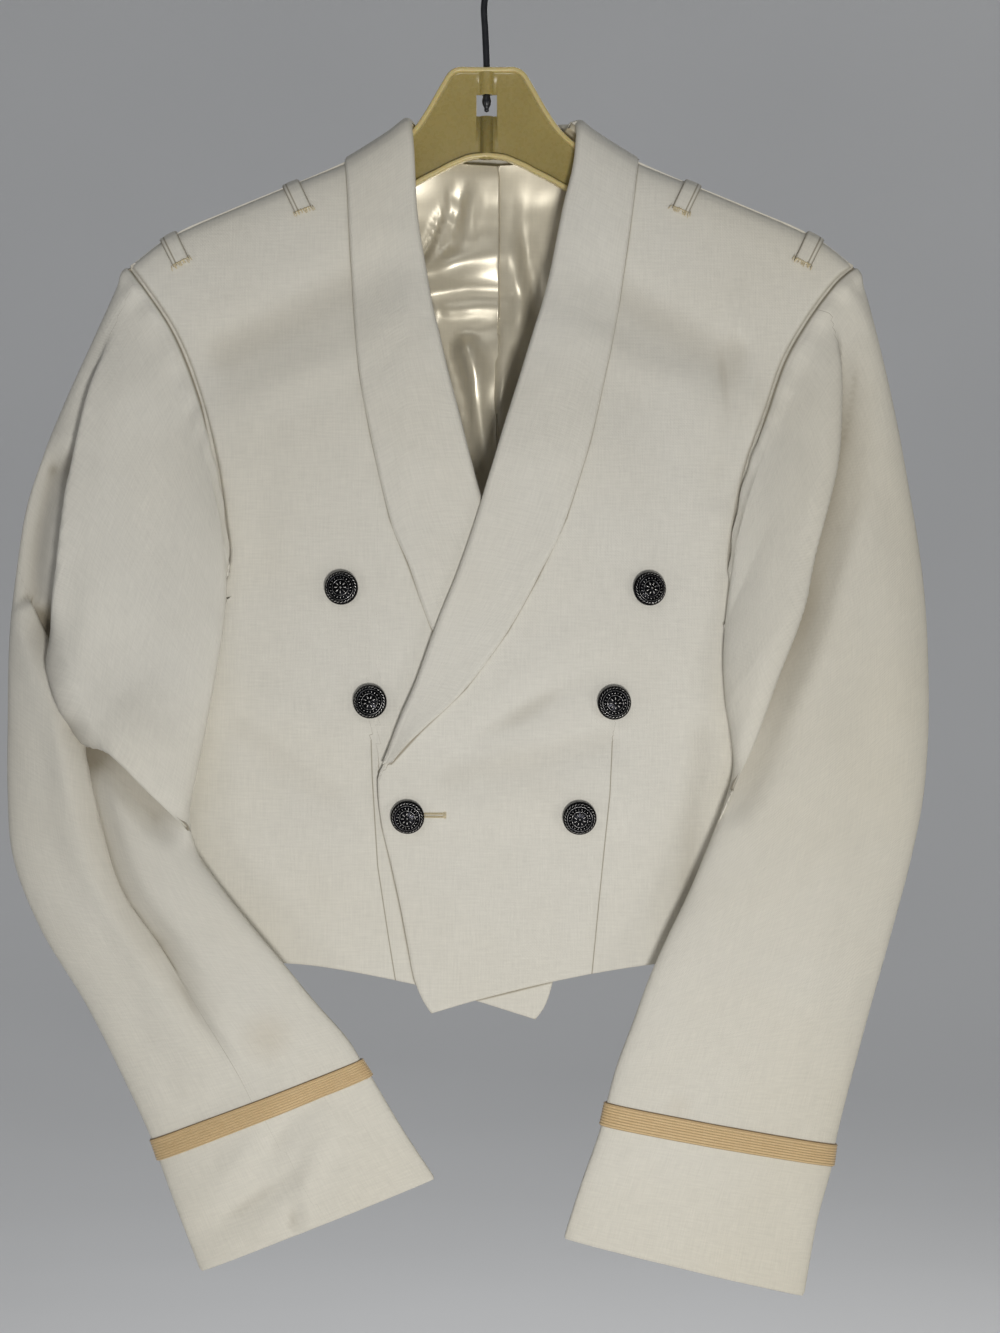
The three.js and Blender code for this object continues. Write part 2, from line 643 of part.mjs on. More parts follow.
// Fronts
const FRONT_GRID = { rows: 23, columns: 14, crowd: 1.5 };
function front(side, shawl, edge, hem, armhole, surface) {
  const neck = shawl[0];
  const tip = armhole[0];
  const shoulder = Array.from({ length: 9 }, (_, i) => {
    const x = lerp(neck.rollX, tip.x, i / 8);
    return { x, z: shoulderZ(x) };
  });
  const edges = {
    inner: curve([...shawl.map((row) => ({ x: row.rollX, z: row.rollZ })), ...edge]),
    outer: curve([...armhole, ...underarm(armhole.at(-1), side), ...sideSeam(side)]),
    top: curve(shoulder),
    bottom: curve([...hem, { x: side * bodyHalf(SIDE_HEM_Z), z: SIDE_HEM_Z }]),
  };
  const { rows, columns, crowd } = FRONT_GRID;
  const grid = patch(edges, rows, crowd, crossings(columns), surface);
  return wall(grid, CLOTH, side, { keep: keptFront });
}
add("front_left", front(1, SHAWL_LEFT, FRONT_EDGE_LEFT, HEM_LEFT, ARMHOLE_LEFT, onLeftFront), drill);
add("front_right", front(-1, SHAWL_RIGHT, FRONT_EDGE_RIGHT, HEM_RIGHT, ARMHOLE_RIGHT, onRightFront), drill);

// Backs, which meet at the centre seam. Two columns lie below the neck, and the others below the shoulder.
const BACK_GRID = { rows: 15, crowd: 1.65, neck: 2, shoulder: 7, neckShare: 0.21 };
function backGrid(side) {
  const flip = ({ x, z }) => ({ x: side * Math.max(x, SEAM_GAP / 2), z });
  const shoulder = Array.from({ length: 7 }, (_, i) => {
    const x = lerp(46, ARMHOLE_BACK[0].x, i / 6);
    return { x: side * x, z: shoulderZ(x) };
  });
  const edges = {
    inner: curve([BACK_NECK[0], HEM_BACK[0]].map(flip)),
    outer: curve([...ARMHOLE_BACK.map(flip), ...sideSeam(side)]),
    top: curve([...BACK_NECK.map(flip), ...shoulder]),
    bottom: curve([...HEM_BACK.map(flip), { x: side * bodyHalf(SIDE_HEM_Z), z: SIDE_HEM_Z }]),
  };
  const { rows, crowd, neck, neckShare } = BACK_GRID;
  const columns = [
    ...Array.from({ length: neck }, (_, c) => (neckShare * c) / neck),
    ...crossings(BACK_GRID.shoulder).map((share) => lerp(neckShare, 1, share)),
  ];
  const grid = patch(edges, rows, crowd, columns, onBack);
  return side > 0 ? grid : grid.map((line) => line.toReversed());
}
const backLeft = backGrid(1);
const backRight = backGrid(-1);
add("back_left", wall(backLeft, CLOTH, -1, { keep: keptBack }), drill);
add("back_right", wall(backRight, CLOTH, -1, { keep: keptBack }), drill);

// The lining of the back, made from the backs' own points moved in. It stops short of the seams all round.
const LINING_HEM_SHARE = 0.2;
function liningGrid() {
  const [right, left] = [backRight, backLeft].map((grid) => movedOut(grid, -(SEAT + SEAM_GAP), -1));
  const inside = left.map((line, r) => [...right[r].slice(1, -1), line[0].setX(0), ...line.slice(1, -1)]);
  const last = inside.length - 1;
  const middle = (inside[0].length - 1) / 2;
  inside[1].forEach((point, c) => point.lerp(inside[2][c], Math.abs(c / middle - 1)));
  inside[last].forEach((point, c) => point.lerp(inside[last - 1][c], LINING_HEM_SHARE));
  return inside.slice(1);
}
add("lining_back", wall(liningGrid(), LINING, -1), satin);

// The shawl collar: each half runs from the centre back seam round the neck and down the front to the break.
// A section of it goes from the roll line to the outer edge, and lies on the body, moved out from it.
function fallRows(side) {
  return Array.from({ length: FALL.rows }, (_, i) => {
    const turn = ((i / FALL.rows) * Math.PI) / 2;
    const [rollX, edgeX] = [FALL.rollX, FALL.edgeX].map((x) => side * x * Math.sin(turn));
    const edgeZ = lerp(FALL.edgeHigh, FALL.edgeLow, Math.cos(turn));
    return {
      rollX,
      rollDrop: -below(rollX, FALL.rollZ),
      edgeX,
      edgeDrop: -below(edgeX, edgeZ),
      stand: Math.max(FALL.rollY * Math.cos(turn) - backDepth(rollX, FALL.rollZ), 0),
      steps: FALL.steps,
    };
  });
}
const signedRoot = (drop) => Math.sign(drop) * Math.sqrt(Math.abs(drop));
const signedSquare = (root) => root * Math.abs(root);
function shawl(side, frontRows, lift) {
  const rows = [
    ...fallRows(side),
    ...frontRows.map((row) => ({
      ...row,
      rollDrop: below(row.rollX, row.rollZ) + 0.6,
      edgeDrop: below(row.edgeX, row.edgeZ),
      stand: 0,
      steps: SHAWL_GRID.steps,
    })),
  ];
  rows[0].rollX = rows[0].edgeX = (side * SEAM_GAP) / 2;
  rows[FALL.rows - 1].steps = rows[FALL.rows].steps = SHAWL_GRID.shoulderSteps;
  const sections = rows.slice(0, -1).flatMap(({ steps }, i) =>
    Array.from({ length: steps }, (_, step) => (i + step / steps) / (rows.length - 1)),
  );
  const line = (xColumn, dropColumn) =>
    new THREE.CatmullRomCurve3(
      rows.map((row) => new THREE.Vector3(row[xColumn], signedRoot(row[dropColumn]), row.stand)),
    );
  const [roll, edge] = [line("rollX", "rollDrop"), line("edgeX", "edgeDrop")];
  const grid = [...sections, 1].map((share) => {
    const [from, to] = [roll.getPoint(share), edge.getPoint(share)];
    return Array.from({ length: SHAWL_GRID.columns + 1 }, (_, c) => {
      const across = c / SHAWL_GRID.columns;
      const x = lerp(from.x, to.x, across);
      const drop = signedSquare(lerp(from.y, to.y, across));
      const z = shoulderZ(x) - Math.abs(drop);
      if (drop < 0) return onBack(x, z).add(new THREE.Vector3(0, from.z * (1 - across) ** 1.2, 0));
      const puff = SHAWL_PUFF.room * smoothstep(z, SHAWL_PUFF.to, SHAWL_PUFF.from) * Math.sin(across * Math.PI);
      const stand = from.z * (1 - across);
      return onRightFront(x, z).add(new THREE.Vector3(0, stand - lift(x, z) - puff, 0));
    });
  });
  return wall(movedOut(grid, SEAT + SHAWL_GRID.ease, side), CLOTH, side);
}
add("shawl_left", shawl(1, SHAWL_LEFT, overLift), drill);
add("shawl_right", shawl(-1, SHAWL_RIGHT, () => 0), drill);

// The stand of the collar rises from the neck seam inside the fall, from one side of the neck to the other.
// Each row gives its upper and lower edge at a distance from the centre back.
const STAND = [
  { x: 0, topY: 20.4, topZ: -117.6, lowY: 15.4, lowZ: -145.3 },
  { x: 12, topY: 19.9, topZ: -117.6, lowY: 15.3, lowZ: -144.3 },
  { x: 22, topY: 17.6, topZ: -117.8, lowY: 14.8, lowZ: -141.9 },
  { x: 31, topY: 13.4, topZ: -118, lowY: 13.4, lowZ: -136 },
  { x: 36.5, topY: 10, topZ: -118.4, lowY: 10.6, lowZ: -127 },
  { x: 40, topY: 7.2, topZ: -118.8, lowY: 7.6, lowZ: -122 },
];
const STAND_COLUMNS = 3;
function collarStand() {
  const rows = [...STAND.slice(1).toReversed().map((row) => ({ ...row, x: -row.x })), ...STAND];
  const grid = rows.map(({ x, topY, topZ, lowY, lowZ }) =>
    Array.from({ length: STAND_COLUMNS + 1 }, (_, c) => {
      const down = c / STAND_COLUMNS;
      return new THREE.Vector3(x, lerp(topY, lowY, down), lerp(topZ, lowZ, down));
    }),
  );
  return wall(grid, CLOTH, -1);
}
add("collar_stand", collarStand(), drill);

// Sleeves: each is cut as a top sleeve and an under sleeve, which meet along the two edges of the sections
const TOP_GRID = { rows: 26, columns: 12 };
const UNDER_GRID = { rows: 26, columns: 9 };
const SECTION_FLATNESS = 0.8;

// The loop where a sleeve is sewn in: down the front armhole, under the arm and up the back armhole
const ARMPIT_TURN = 0.72;
function armholeLoop(side, armhole) {
  const corner = armhole.at(-1);
  const armpit = { x: side * bodyHalf(ARMPIT_Z), z: ARMPIT_Z };
  const beside = ({ x, z }) => ({ x: x + side * ARMHOLE_GAP, z });
  const above = ({ x, z }) => ({ x, z: z + ARMHOLE_GAP + CLOTH });
  const join = above(beside(corner));
  const sewn = (rows, surface) =>
    new THREE.CatmullRomCurve3(
      curve(rows)
        .getSpacedPoints(16)
        .map(({ x, z }) => surface(x, z)),
    );
  const under = above(beside(armpit));
  const behind = ARMHOLE_BACK.toReversed().map(({ x, z }) => beside({ x: side * x, z }));
  return {
    front: sewn([...armhole.slice(0, -1).map(beside), join], onRightFront),
    under: sewn([join, ...underarm(corner, side).map(above), under], onRightFront),
    back: sewn([under, ...behind], onBack),
  };
}
function armholePoint(loop, turn) {
  if (turn <= 0.5) return loop.front.getPointAt(turn * 2);
  if (turn <= ARMPIT_TURN) return loop.under.getPointAt((turn - 0.5) / (ARMPIT_TURN - 0.5));
  return loop.back.getPointAt((turn - ARMPIT_TURN) / (1 - ARMPIT_TURN));
}

// How far in front of the middle a sleeve must be to lie on the front below the armpit, or nothing beside the body
const SLEEVE_CLEARANCE = { ahead: 3.4, aside: 4 };
function clearOfBody(x, z, room = SLEEVE_CLEARANCE.ahead) {
  const share = Math.min(Math.abs(x) / (bodyHalf(z) + SLEEVE_CLEARANCE.aside), 1);
  const round = (1 - share ** BODY_ROUNDNESS) ** (1 / BODY_ROUNDNESS);
  const surface = Math.max(frontDepth(x, z), frontDrop(below(x, z)) * round);
  return round > 0 ? surface + room * Math.min(round * 3, 1) : 0;
}

function sleeveSections(rows) {
  const along = (pick) => new THREE.CatmullRomCurve3(rows.map((row) => new THREE.Vector3(...pick(row))));
  const outer = along((row) => [row.outX, row.outY, row.outZ]);
  const inner = along((row) => [row.inX, row.inY, row.inZ]);
  const bulge = along((row) => [row.front, row.back, 0]);
  return (share) => [outer, inner, bulge].map((line) => line.getPoint(share));
}

// A point of a sleeve: share runs from the armhole to the cuff, turn from the outer edge over the front to the
// inner edge at 0.5 and round the back to the outer edge again at 1
function sleevePoint(sections, loop, rowCount, relief) {
  const first = 1 / rowCount;
  return (share, turn) => {
    const down = clamp((share - first) / (1 - first), 0, 1);
    const [outer, inner, bulge] = sections(down);
    const angle = turn * Math.PI * 2;
    const point = outer.clone().lerp(inner, (1 - Math.cos(angle)) / 2);
    const swell = Math.sign(Math.sin(angle)) * Math.abs(Math.sin(angle)) ** SECTION_FLATNESS;
    point.y -= swell > 0 ? swell * bulge.x : swell * bulge.y;
    const rowsIn = share * rowCount;
    const blend = rowsIn < 4 ? smoothBlend(rowsIn) : 1;
    if (Math.sin(angle) > 0) point.y -= relief(point.x, point.z) * Math.sin(angle) ** 0.7;
    const ahead = -clearOfBody(point.x, point.z);
    if (ahead < 0) point.y = Math.min(point.y, ahead);
    if (blend >= 1) return point;
    const round = (turn + 1) % 1;
    const start = armholePoint(loop, round);
    const depth = lerp(start.y, point.y, blend ** 1.8);
    start.lerp(point, blend).setY(depth);
    if (round < 0.3 || round > ARMPIT_TURN) return start;
    const room = SLEEVE_CLEARANCE.ahead * (1 + 3 * Math.max(Math.sin(angle), 0) ** 0.6);
    const leaving = Math.min(blend / SLEEVE_BLEND[0], 1);
    return start.setY(Math.min(start.y, -clearOfBody(start.x, start.z, room * leaving)));
  };
}
const smoothBlend = column(
  [{ row: 0, share: 0 }, ...SLEEVE_BLEND.map((share, i) => ({ row: i + 1, share })), { row: 4, share: 1 }],
  "row",
  "share",
);

// The relief of a sleeve's front: the upper sleeve lies over the lower one as a ledge, and creases are cut into it
function sleeveRelief(ledge, upperSide, creases) {
  return (x, z) => {
    const { distance, side } = nearPath(ledge, x, z);
    const into = distance * side * upperSide;
    const rise = smoothstep(into, -LEDGE.run / 2, LEDGE.run / 2) * (1 - smoothstep(into, 0, LEDGE.reach));
    const cut = creases.reduce((sum, crease) => sum + trough(crease.path, crease.width, crease.deep, x, z), 0);
    return LEDGE.rise * rise - cut * (into > 0 ? 1 - smoothstep(into, 0, LEDGE.run) : 1);
  };
}

// One piece of a sleeve, whose edges are square to the cloth where it meets the other piece
const TURN_STEP = 0.02;
function sleevePiece(point, { rows, columns }, from, to, hand) {
  const at = (r, c, step) => point(clamp(r / rows, 0, 1), lerp(from, to, c / columns) + step);
  const lines = (make) =>
    Array.from({ length: rows + 1 }, (_, r) => Array.from({ length: columns + 1 }, (_, c) => make(r, c)));
  const normals = lines((r, c) => {
    const down = at(r + 0.5, c, 0).sub(at(r - 0.5, c, 0));
    const across = at(r, c, TURN_STEP).sub(at(r, c, -TURN_STEP));
    return down.cross(across).normalize();
  });
  return wall(lines((r, c) => at(r, c, 0)), CLOTH, hand, { normals });
}

const BRAID_FACETS = 24;
const SEAM_TURN = 0.0012; // half the opening between the two sleeve pieces, as a share of a turn
const SLEEVES = [
  {
    name: "left",
    side: 1,
    rows: SLEEVE_LEFT,
    armhole: ARMHOLE_LEFT,
    relief: sleeveRelief(LEDGE_LEFT, -1, SLEEVE_CREASES_LEFT),
  },
  {
    name: "right",
    side: -1,
    rows: SLEEVE_RIGHT,
    armhole: ARMHOLE_RIGHT,
    relief: sleeveRelief(LEDGE_RIGHT, 1, SLEEVE_CREASES_RIGHT),
  },
];
for (const { name, side, rows, armhole, relief } of SLEEVES) {
  const point = sleevePoint(sleeveSections(rows), armholeLoop(side, armhole), rows.length, relief);
  add(`sleeve_${name}_top`, sleevePiece(point, TOP_GRID, SEAM_TURN, 0.5 - SEAM_TURN, -side), drill);
  add(`sleeve_${name}_under`, sleevePiece(point, UNDER_GRID, 0.5 + SEAM_TURN, 1 - SEAM_TURN, -side), drill);
  const braidRows = [BRAID_ROWS.upper, BRAID_ROWS.lower].map((row) =>
    Array.from({ length: BRAID_FACETS + 1 }, (_, c) => point((row + 1) / rows.length, c / BRAID_FACETS)),
  );
  add(`braid_${name}`, band(braidRows, SEAM_GAP * 2, BRAID_THICK, -side), braidFinish);
}

// Loops for shoulder boards: narrow strips over each shoulder, made from the body's points
const LOOP_GRID = { rows: 10, columns: 2 };
function shoulderLoop({ x: centre }) {
  const side = Math.sign(centre);
  const grid = Array.from({ length: LOOP_GRID.rows + 1 }, (_, r) => {
    const share = lerp(-1, 1, r / LOOP_GRID.rows);
    const drop = signedSquare(share) * (share > 0 ? LOOP.front : LOOP.back);
    return Array.from({ length: LOOP_GRID.columns + 1 }, (_, c) => {
      const x = centre + side * (LOOP.width * (c / LOOP_GRID.columns - 0.5) - LOOP.lean * Math.abs(drop));
      const z = shoulderZ(x) - Math.abs(drop);
      return drop < 0 ? onBack(x, z) : onRightFront(x, z);
    });
  });
  return wall(movedOut(grid, SEAM_GAP + LOOP.thick, side), LOOP.thick, side);
}
for (const loop of LOOPS) add(loop.name, shoulderLoop(loop), drill);

// Domed metal buttons on a shank, each square to the cloth under it
function buttonGeometry() {
  const { diameter, edge, height, shank, stand, facets } = BUTTON;
  const radius = diameter / 2;
  const profile = [
    [0, 0],
    [shank, 0],
    [shank, stand],
    [radius - 0.7, stand],
    [radius, stand + edge / 2],
    [radius - 0.4, stand + edge],
    [radius * 0.72, stand + edge + (height - stand - edge) * 0.55],
    [radius * 0.38, stand + edge + (height - stand - edge) * 0.9],
    [0, height],
  ];
  return new THREE.LatheGeometry(profile.map(([r, h]) => new THREE.Vector2(r, h)), facets);
}
for (const { name, x, z, over } of BUTTONS) {
  const surface = over ? onLeftFront : onRightFront;
  const seat = surface(x, z);
  const acrossway = surface(x + 4, z).sub(surface(x - 4, z));
  const upward = surface(x, z + 4).sub(surface(x, z - 4));
  const out = acrossway.cross(upward).normalize();
  const mesh = new THREE.Mesh(buttonGeometry(), oxidised);
  mesh.name = name;
  mesh.position.copy(seat.addScaledVector(out, SEAM_GAP));
  mesh.quaternion.setFromUnitVectors(new THREE.Vector3(0, 1, 0), out);
  jacket.add(mesh);
}

// A three.js geometry as a solid that can be joined and cut, and back again
function solid(geometry) {
  const bare = geometry.clone();
  bare.deleteAttribute("normal");
  bare.deleteAttribute("uv");
  const merged = mergeVertices(bare, 1e-4);
  const vertProperties = new Float32Array(merged.attributes.position.array);
  const triVerts = new Uint32Array(merged.index.array);
  return new wasm.Manifold(new wasm.Mesh({ numProp: 3, vertProperties, triVerts }));
}
function geometryOf(made) {
  const mesh = made.getMesh();
  const geometry = new THREE.BufferGeometry();
  geometry.setAttribute("position", new THREE.Float32BufferAttribute(mesh.vertProperties, 3));
  geometry.setIndex(Array.from(mesh.triVerts));
  geometry.computeVertexNormals();
  return geometry;
}

// The hanger: a flat web with a rim along its edges, and a rib down the neck plate that holds the hook
function hangerOutline(inset, depth, y) {
  const offset = (x) => HANGER.centre * (1 - smoothstep(x, HANGER_ARM_FROM - 10, HANGER_ARM_FROM + 20));
  const reach = HANGER_HALF.at(-1).x;
  const rows = HANGER_HALF.map(({ x, top, bottom }) => ({ x: (x * (reach - inset)) / reach, top, bottom }));
  const steep = (x) => (x > 19 && x < 50 ? 1.7 : 1.1); // so the rim keeps its width along the steep shoulders
  const upper = rows.map(({ x, top }) => [x, top - inset * steep(x)]);
  const lower = rows.map(({ x, bottom }) => [x, bottom + inset * 1.1]);
  const halfRound = [...upper, ...lower.toReversed()].filter(([x, z], i, all) => {
    const partner = all[all.length - 1 - i];
    return i < upper.length ? z > partner[1] : z < partner[1];
  });
  const right = halfRound.map(([x, z]) => [x + offset(x), z]);
  const left = halfRound.map(([x, z]) => [-x + offset(x), z]).toReversed();
  const shape = new THREE.Shape([...right, ...left.slice(1, -1)].map(([x, z]) => new THREE.Vector2(x, z)));
  const plate = new THREE.ExtrudeGeometry(shape, { depth, bevelEnabled: false });
  return solid(plate.rotateX(Math.PI / 2).translate(0, y + depth, 0));
}
function hanger() {
  const { depth, web, rim, rib, ribTop, ribLow, centre, slotLow, slotHigh, slotHalf } = HANGER;
  const pocket = (depth - web) / 2;
  const body = hangerOutline(0, depth, -depth / 2)
    .subtract(hangerOutline(rim, pocket + 1, -depth / 2 - 1))
    .subtract(hangerOutline(rim, pocket + 1, web / 2));
  const tube = new THREE.CylinderGeometry(rib / 2, rib / 2, ribTop - ribLow, 16).rotateX(Math.PI / 2);
  const slot = new THREE.BoxGeometry(slotHalf * 2, depth + 2, slotHigh - slotLow);
  const bore = new THREE.CylinderGeometry(WIRE_DIAMETER / 2 + 0.35, WIRE_DIAMETER / 2 + 0.35, 30, 16);
  return body
    .add(solid(tube.translate(centre, 0, (ribTop + ribLow) / 2)))
    .subtract(solid(slot.translate(centre, 0, (slotLow + slotHigh) / 2)))
    .subtract(solid(bore.rotateX(Math.PI / 2).translate(centre, 0, slotHigh + 13)));
}
add("hanger", geometryOf(hanger()), hangerPlastic);

// The wire hook: a straight stem out of the neck plate, then a curl over the rail
const STEM = [
  [-3, -111.5],
  [-3, -98],
  [-3, -86],
  [-3.8, -66],
  [-4.4, -52],
  [-3, -45.5],
  [4, -40],
];
const CURL = { from: -50, to: 205, steps: 12 };
const WIRE_FACETS = 8;
const WIRE_STEPS = 34;
function hookGeometry() {
  const radius = HOOK_RADIUS + WIRE_DIAMETER / 2;
  const curl = Array.from({ length: CURL.steps + 1 }, (_, i) => {
    const angle = THREE.MathUtils.degToRad(lerp(CURL.from, CURL.to, i / CURL.steps));
    return [radius * Math.cos(angle), radius * Math.sin(angle) - HOOK_RADIUS];
  });
  const path = new THREE.CatmullRomCurve3([...STEM, ...curl].map(([x, z]) => new THREE.Vector3(x, 0, z)));
  const circle = Array.from({ length: WIRE_FACETS }, (_, i) => {
    const angle = (i / WIRE_FACETS) * Math.PI * 2;
    return new THREE.Vector2((Math.cos(angle) * WIRE_DIAMETER) / 2, (Math.sin(angle) * WIRE_DIAMETER) / 2);
  });
  const section = new THREE.Shape(circle);
  return new THREE.ExtrudeGeometry(section, { extrudePath: path, steps: WIRE_STEPS, bevelEnabled: false });
}
add("hook", hookGeometry(), wireFinish);

export default jacket;
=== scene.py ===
import math

import bmesh
import bpy
import numpy as np
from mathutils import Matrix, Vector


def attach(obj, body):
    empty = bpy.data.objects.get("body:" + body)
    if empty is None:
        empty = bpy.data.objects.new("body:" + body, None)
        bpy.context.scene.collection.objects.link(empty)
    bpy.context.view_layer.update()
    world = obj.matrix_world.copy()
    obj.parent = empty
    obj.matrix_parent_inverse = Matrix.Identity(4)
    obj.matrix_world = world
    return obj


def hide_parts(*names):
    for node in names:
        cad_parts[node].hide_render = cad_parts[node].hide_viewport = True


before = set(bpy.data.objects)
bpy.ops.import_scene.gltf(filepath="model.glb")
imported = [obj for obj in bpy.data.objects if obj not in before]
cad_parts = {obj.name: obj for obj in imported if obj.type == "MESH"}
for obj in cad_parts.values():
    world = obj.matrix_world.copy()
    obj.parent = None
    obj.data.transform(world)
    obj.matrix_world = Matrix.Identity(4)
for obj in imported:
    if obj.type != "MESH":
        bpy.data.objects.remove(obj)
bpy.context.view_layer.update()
MM = 0.001  # lengths below are in millimetres unless a name or comment says metres

# Studio: a pale floor that turns up all round into a low wall, one strong light low and near the middle,
# weak ones at its sides, above and behind, and a camera square to the jacket's front.
FLOOR = {"height": -1.3, "middle": 1.5, "flat": 2.9, "turn": 2.4, "wall": 2.6, "sides": 72}  # metres
LIGHTS = [  # name, place, aim, size, power, colour
    ("key", (0.16, -1.5, -0.84), (0, 0, -0.42), 0.22, 11.4, (1.0, 0.988, 0.96)),
    ("low_right", (1.8, -1.4, -0.8), (0, 0, -0.42), 0.6, 4, (1.0, 0.985, 0.95)),
    ("low_left", (-1.8, -1.5, -0.8), (0, 0, -0.42), 0.6, 3, (1.0, 0.99, 0.97)),
    ("top", (-0.4, -1.9, 1.2), (0, 0, -0.3), 1.0, 3.5, (0.97, 0.985, 1.0)),
    ("behind", (0.6, 2.6, 0.9), (0, 0, -0.4), 1.8, 22, (1.0, 0.99, 0.97)),
    ("backdrop", (0, 1.2, 1.9), (0, 5.2, -0.9), 2.4, 66, (0.955, 0.975, 1.0)),
]
ROOM_LIGHT = {"Color": (0.93, 0.95, 1.0, 1), "Strength": 0.10}
CAMERA_DISTANCE = 1.8
FRAME_HEIGHT = 0.76  # what the picture's height covers at the jacket
FRAME_CENTRE = (0.0046, -0.4284)


def set_inputs(tree, node, inputs):
    """A socket is linked, and a number or a colour is put in."""
    for name, value in inputs.items():
        if isinstance(value, bpy.types.NodeSocket):
            tree.links.new(value, node.inputs[name])
        else:
            node.inputs[name].default_value = value


def add_node(tree, kind, inputs=None, **settings):
    made = tree.nodes.new(kind)
    for name, value in settings.items():
        setattr(made, name, value)
    set_inputs(tree, made, inputs or {})
    return made


def noise(tree, place, scale, detail=2.0, roughness=0.5):
    cloud = {"Vector": place, "Scale": scale, "Detail": detail, "Roughness": roughness}
    return add_node(tree, "ShaderNodeTexNoise", cloud).outputs["Fac"]


def spread(tree, value, start=0.0, end=1.0, low=0.0, high=1.0, **settings):
    """A value that runs from start to end, made to run from low to high."""
    ends = {"Value": value, "From Min": start, "From Max": end, "To Min": low, "To Max": high}
    return add_node(tree, "ShaderNodeMapRange", ends, **settings).outputs[0]


def object_place(tree):
    return add_node(tree, "ShaderNodeTexCoord").outputs["Object"]


def new_material(name):
    material = bpy.data.materials.new(name)
    material.use_nodes = True
    return material, material.node_tree, material.node_tree.nodes["Principled BSDF"]


def mesh_object(name, points, faces, material, uv=None):
    """An object of smooth faces; points are in millimetres, and uv gives each point's place in metres."""
    mesh = bpy.data.meshes.new(name)
    mesh.from_pydata((np.asarray(points, float) * MM).tolist(), [], [list(face) for face in faces])
    mesh.polygons.foreach_set("use_smooth", [True] * len(mesh.polygons))
    if uv is not None:
        corner = np.empty(len(mesh.loops), np.int32)
        mesh.loops.foreach_get("vertex_index", corner)
        layer = mesh.uv_layers.new(name="cut")
        layer.data.foreach_set("uv", np.asarray(uv, np.float32)[corner].ravel())
    mesh.materials.append(material)
    made = bpy.data.objects.new(name, mesh)
    bpy.context.scene.collection.objects.link(made)
    return made


def ring_faces(rings, sides):
    """The faces between closed rings of points, each ring with the same number of them."""
    return [
        (i * sides + k, (i + 1) * sides + k, (i + 1) * sides + (k + 1) % sides, i * sides + (k + 1) % sides)
        for i in range(rings - 1)
        for k in range(sides)
    ]


def studio_floor():
    material, tree, shader = new_material("matt studio paint")
    tone = spread(tree, noise(tree, object_place(tree), 1.3), low=0.54, high=0.60)
    paint = add_node(tree, "ShaderNodeCombineColor", {"Red": tone, "Green": tone, "Blue": tone})
    set_inputs(tree, shader, {"Base Color": paint.outputs[0], "Roughness": 0.9})
    turn = np.linspace(0, math.pi / 2, 12)
    outside = FLOOR["flat"] + FLOOR["turn"]
    rising = FLOOR["flat"] + FLOOR["turn"] * np.sin(turn)
    radius = np.concatenate([[0.01, FLOOR["middle"]], rising, [outside]])
    height = np.concatenate([[0, 0], FLOOR["turn"] * (1 - np.cos(turn)), [FLOOR["wall"]]])
    around = np.linspace(0, 2 * math.pi, FLOOR["sides"], endpoint=False)
    points = [
        (r * math.cos(a) / MM, r * math.sin(a) / MM, (FLOOR["height"] + h) / MM)
        for r, h in zip(radius, height)
        for a in around
    ]
    faces = [face[::-1] for face in ring_faces(len(radius), FLOOR["sides"])]
    faces.append(tuple(range(FLOOR["sides"]))[::-1])
    mesh_object("studio_floor", points, faces, material)


def soft_light(name, place, aim, size, power, colour):
    light = bpy.data.lights.new(name, "AREA")
    light.size = size
    light.energy = power
    light.color = colour
    lamp = bpy.data.objects.new(name, light)
    lamp.location = place
    lamp.rotation_mode = "QUATERNION"
    direction = Vector(aim) - Vector(place)
    lamp.rotation_quaternion = direction.to_track_quat("-Z", "Y")
    lamp.visible_camera = False
    bpy.context.scene.collection.objects.link(lamp)


studio_floor()
for light_row in LIGHTS:
    soft_light(*light_row)
world = bpy.data.worlds.new("pale room")
world.use_nodes = True
set_inputs(world.node_tree, world.node_tree.nodes["Background"], ROOM_LIGHT)
bpy.context.scene.world = world
bpy.context.scene.view_settings.view_transform = "Standard"

camera = bpy.data.objects.new("camera", bpy.data.cameras.new("camera"))
camera.data.sensor_width = 36
camera.data.lens = camera.data.sensor_width * CAMERA_DISTANCE / FRAME_HEIGHT
camera.location = (FRAME_CENTRE[0], -CAMERA_DISTANCE, FRAME_CENTRE[1])
camera.rotation_euler = (math.pi / 2, 0, 0)
bpy.context.scene.collection.objects.link(camera)
bpy.context.scene.camera = camera

# The shell of the jacket: a finely ribbed off-white drill, a little yellowed and marked with age. Its
# threads follow the cut of each piece, so the weave reads the place on the cut and not in the room.
DRILL_THREADS = 2300  # a metre
DRILL_WHITE = (0.80, 0.775, 0.700, 1)
DRILL_YELLOWED = (0.745, 0.685, 0.54, 1)
DRILL_MARKED = (0.46, 0.33, 0.16, 1)
DRILL_SHADE_AND_GRIME = (0.27, 0.225, 0.15, 1)  # painted shade and grime in creases and hollows, and the painted shadow line beside each seam, lap and fold edge
SEAM_SHADOW_LINE = (0.15, 1.15)  # how far beside a seam, lap or fold edge its painted shadow line is full, and where it ends
WEFT_STREAKS = (90, 900, 0)  # how close the slubs lie along and across the threads
WARP_STREAKS = (1100, 70, 0)
OLDER_SLEEVE = (0.10, 0.24, 0.38)  # x in metres where the left sleeve yellows and where it's full, how much
OLDER_CUFFS = (-0.60, -0.78, 0.3)  # z in metres, and the same
MARKS = [  # x, z, across, strength
    (118, -656, 1.6, 0.9),
    (-123, -632, 1.8, 0.8),
    (103, -673, 14, 0.25),
    (-124, -633, 22, 0.22),
    (-165, -403, 1.2, 0.5),
    (62, -452, 9, 0.2),
    (-47, -180, 1.4, 0.5),
]


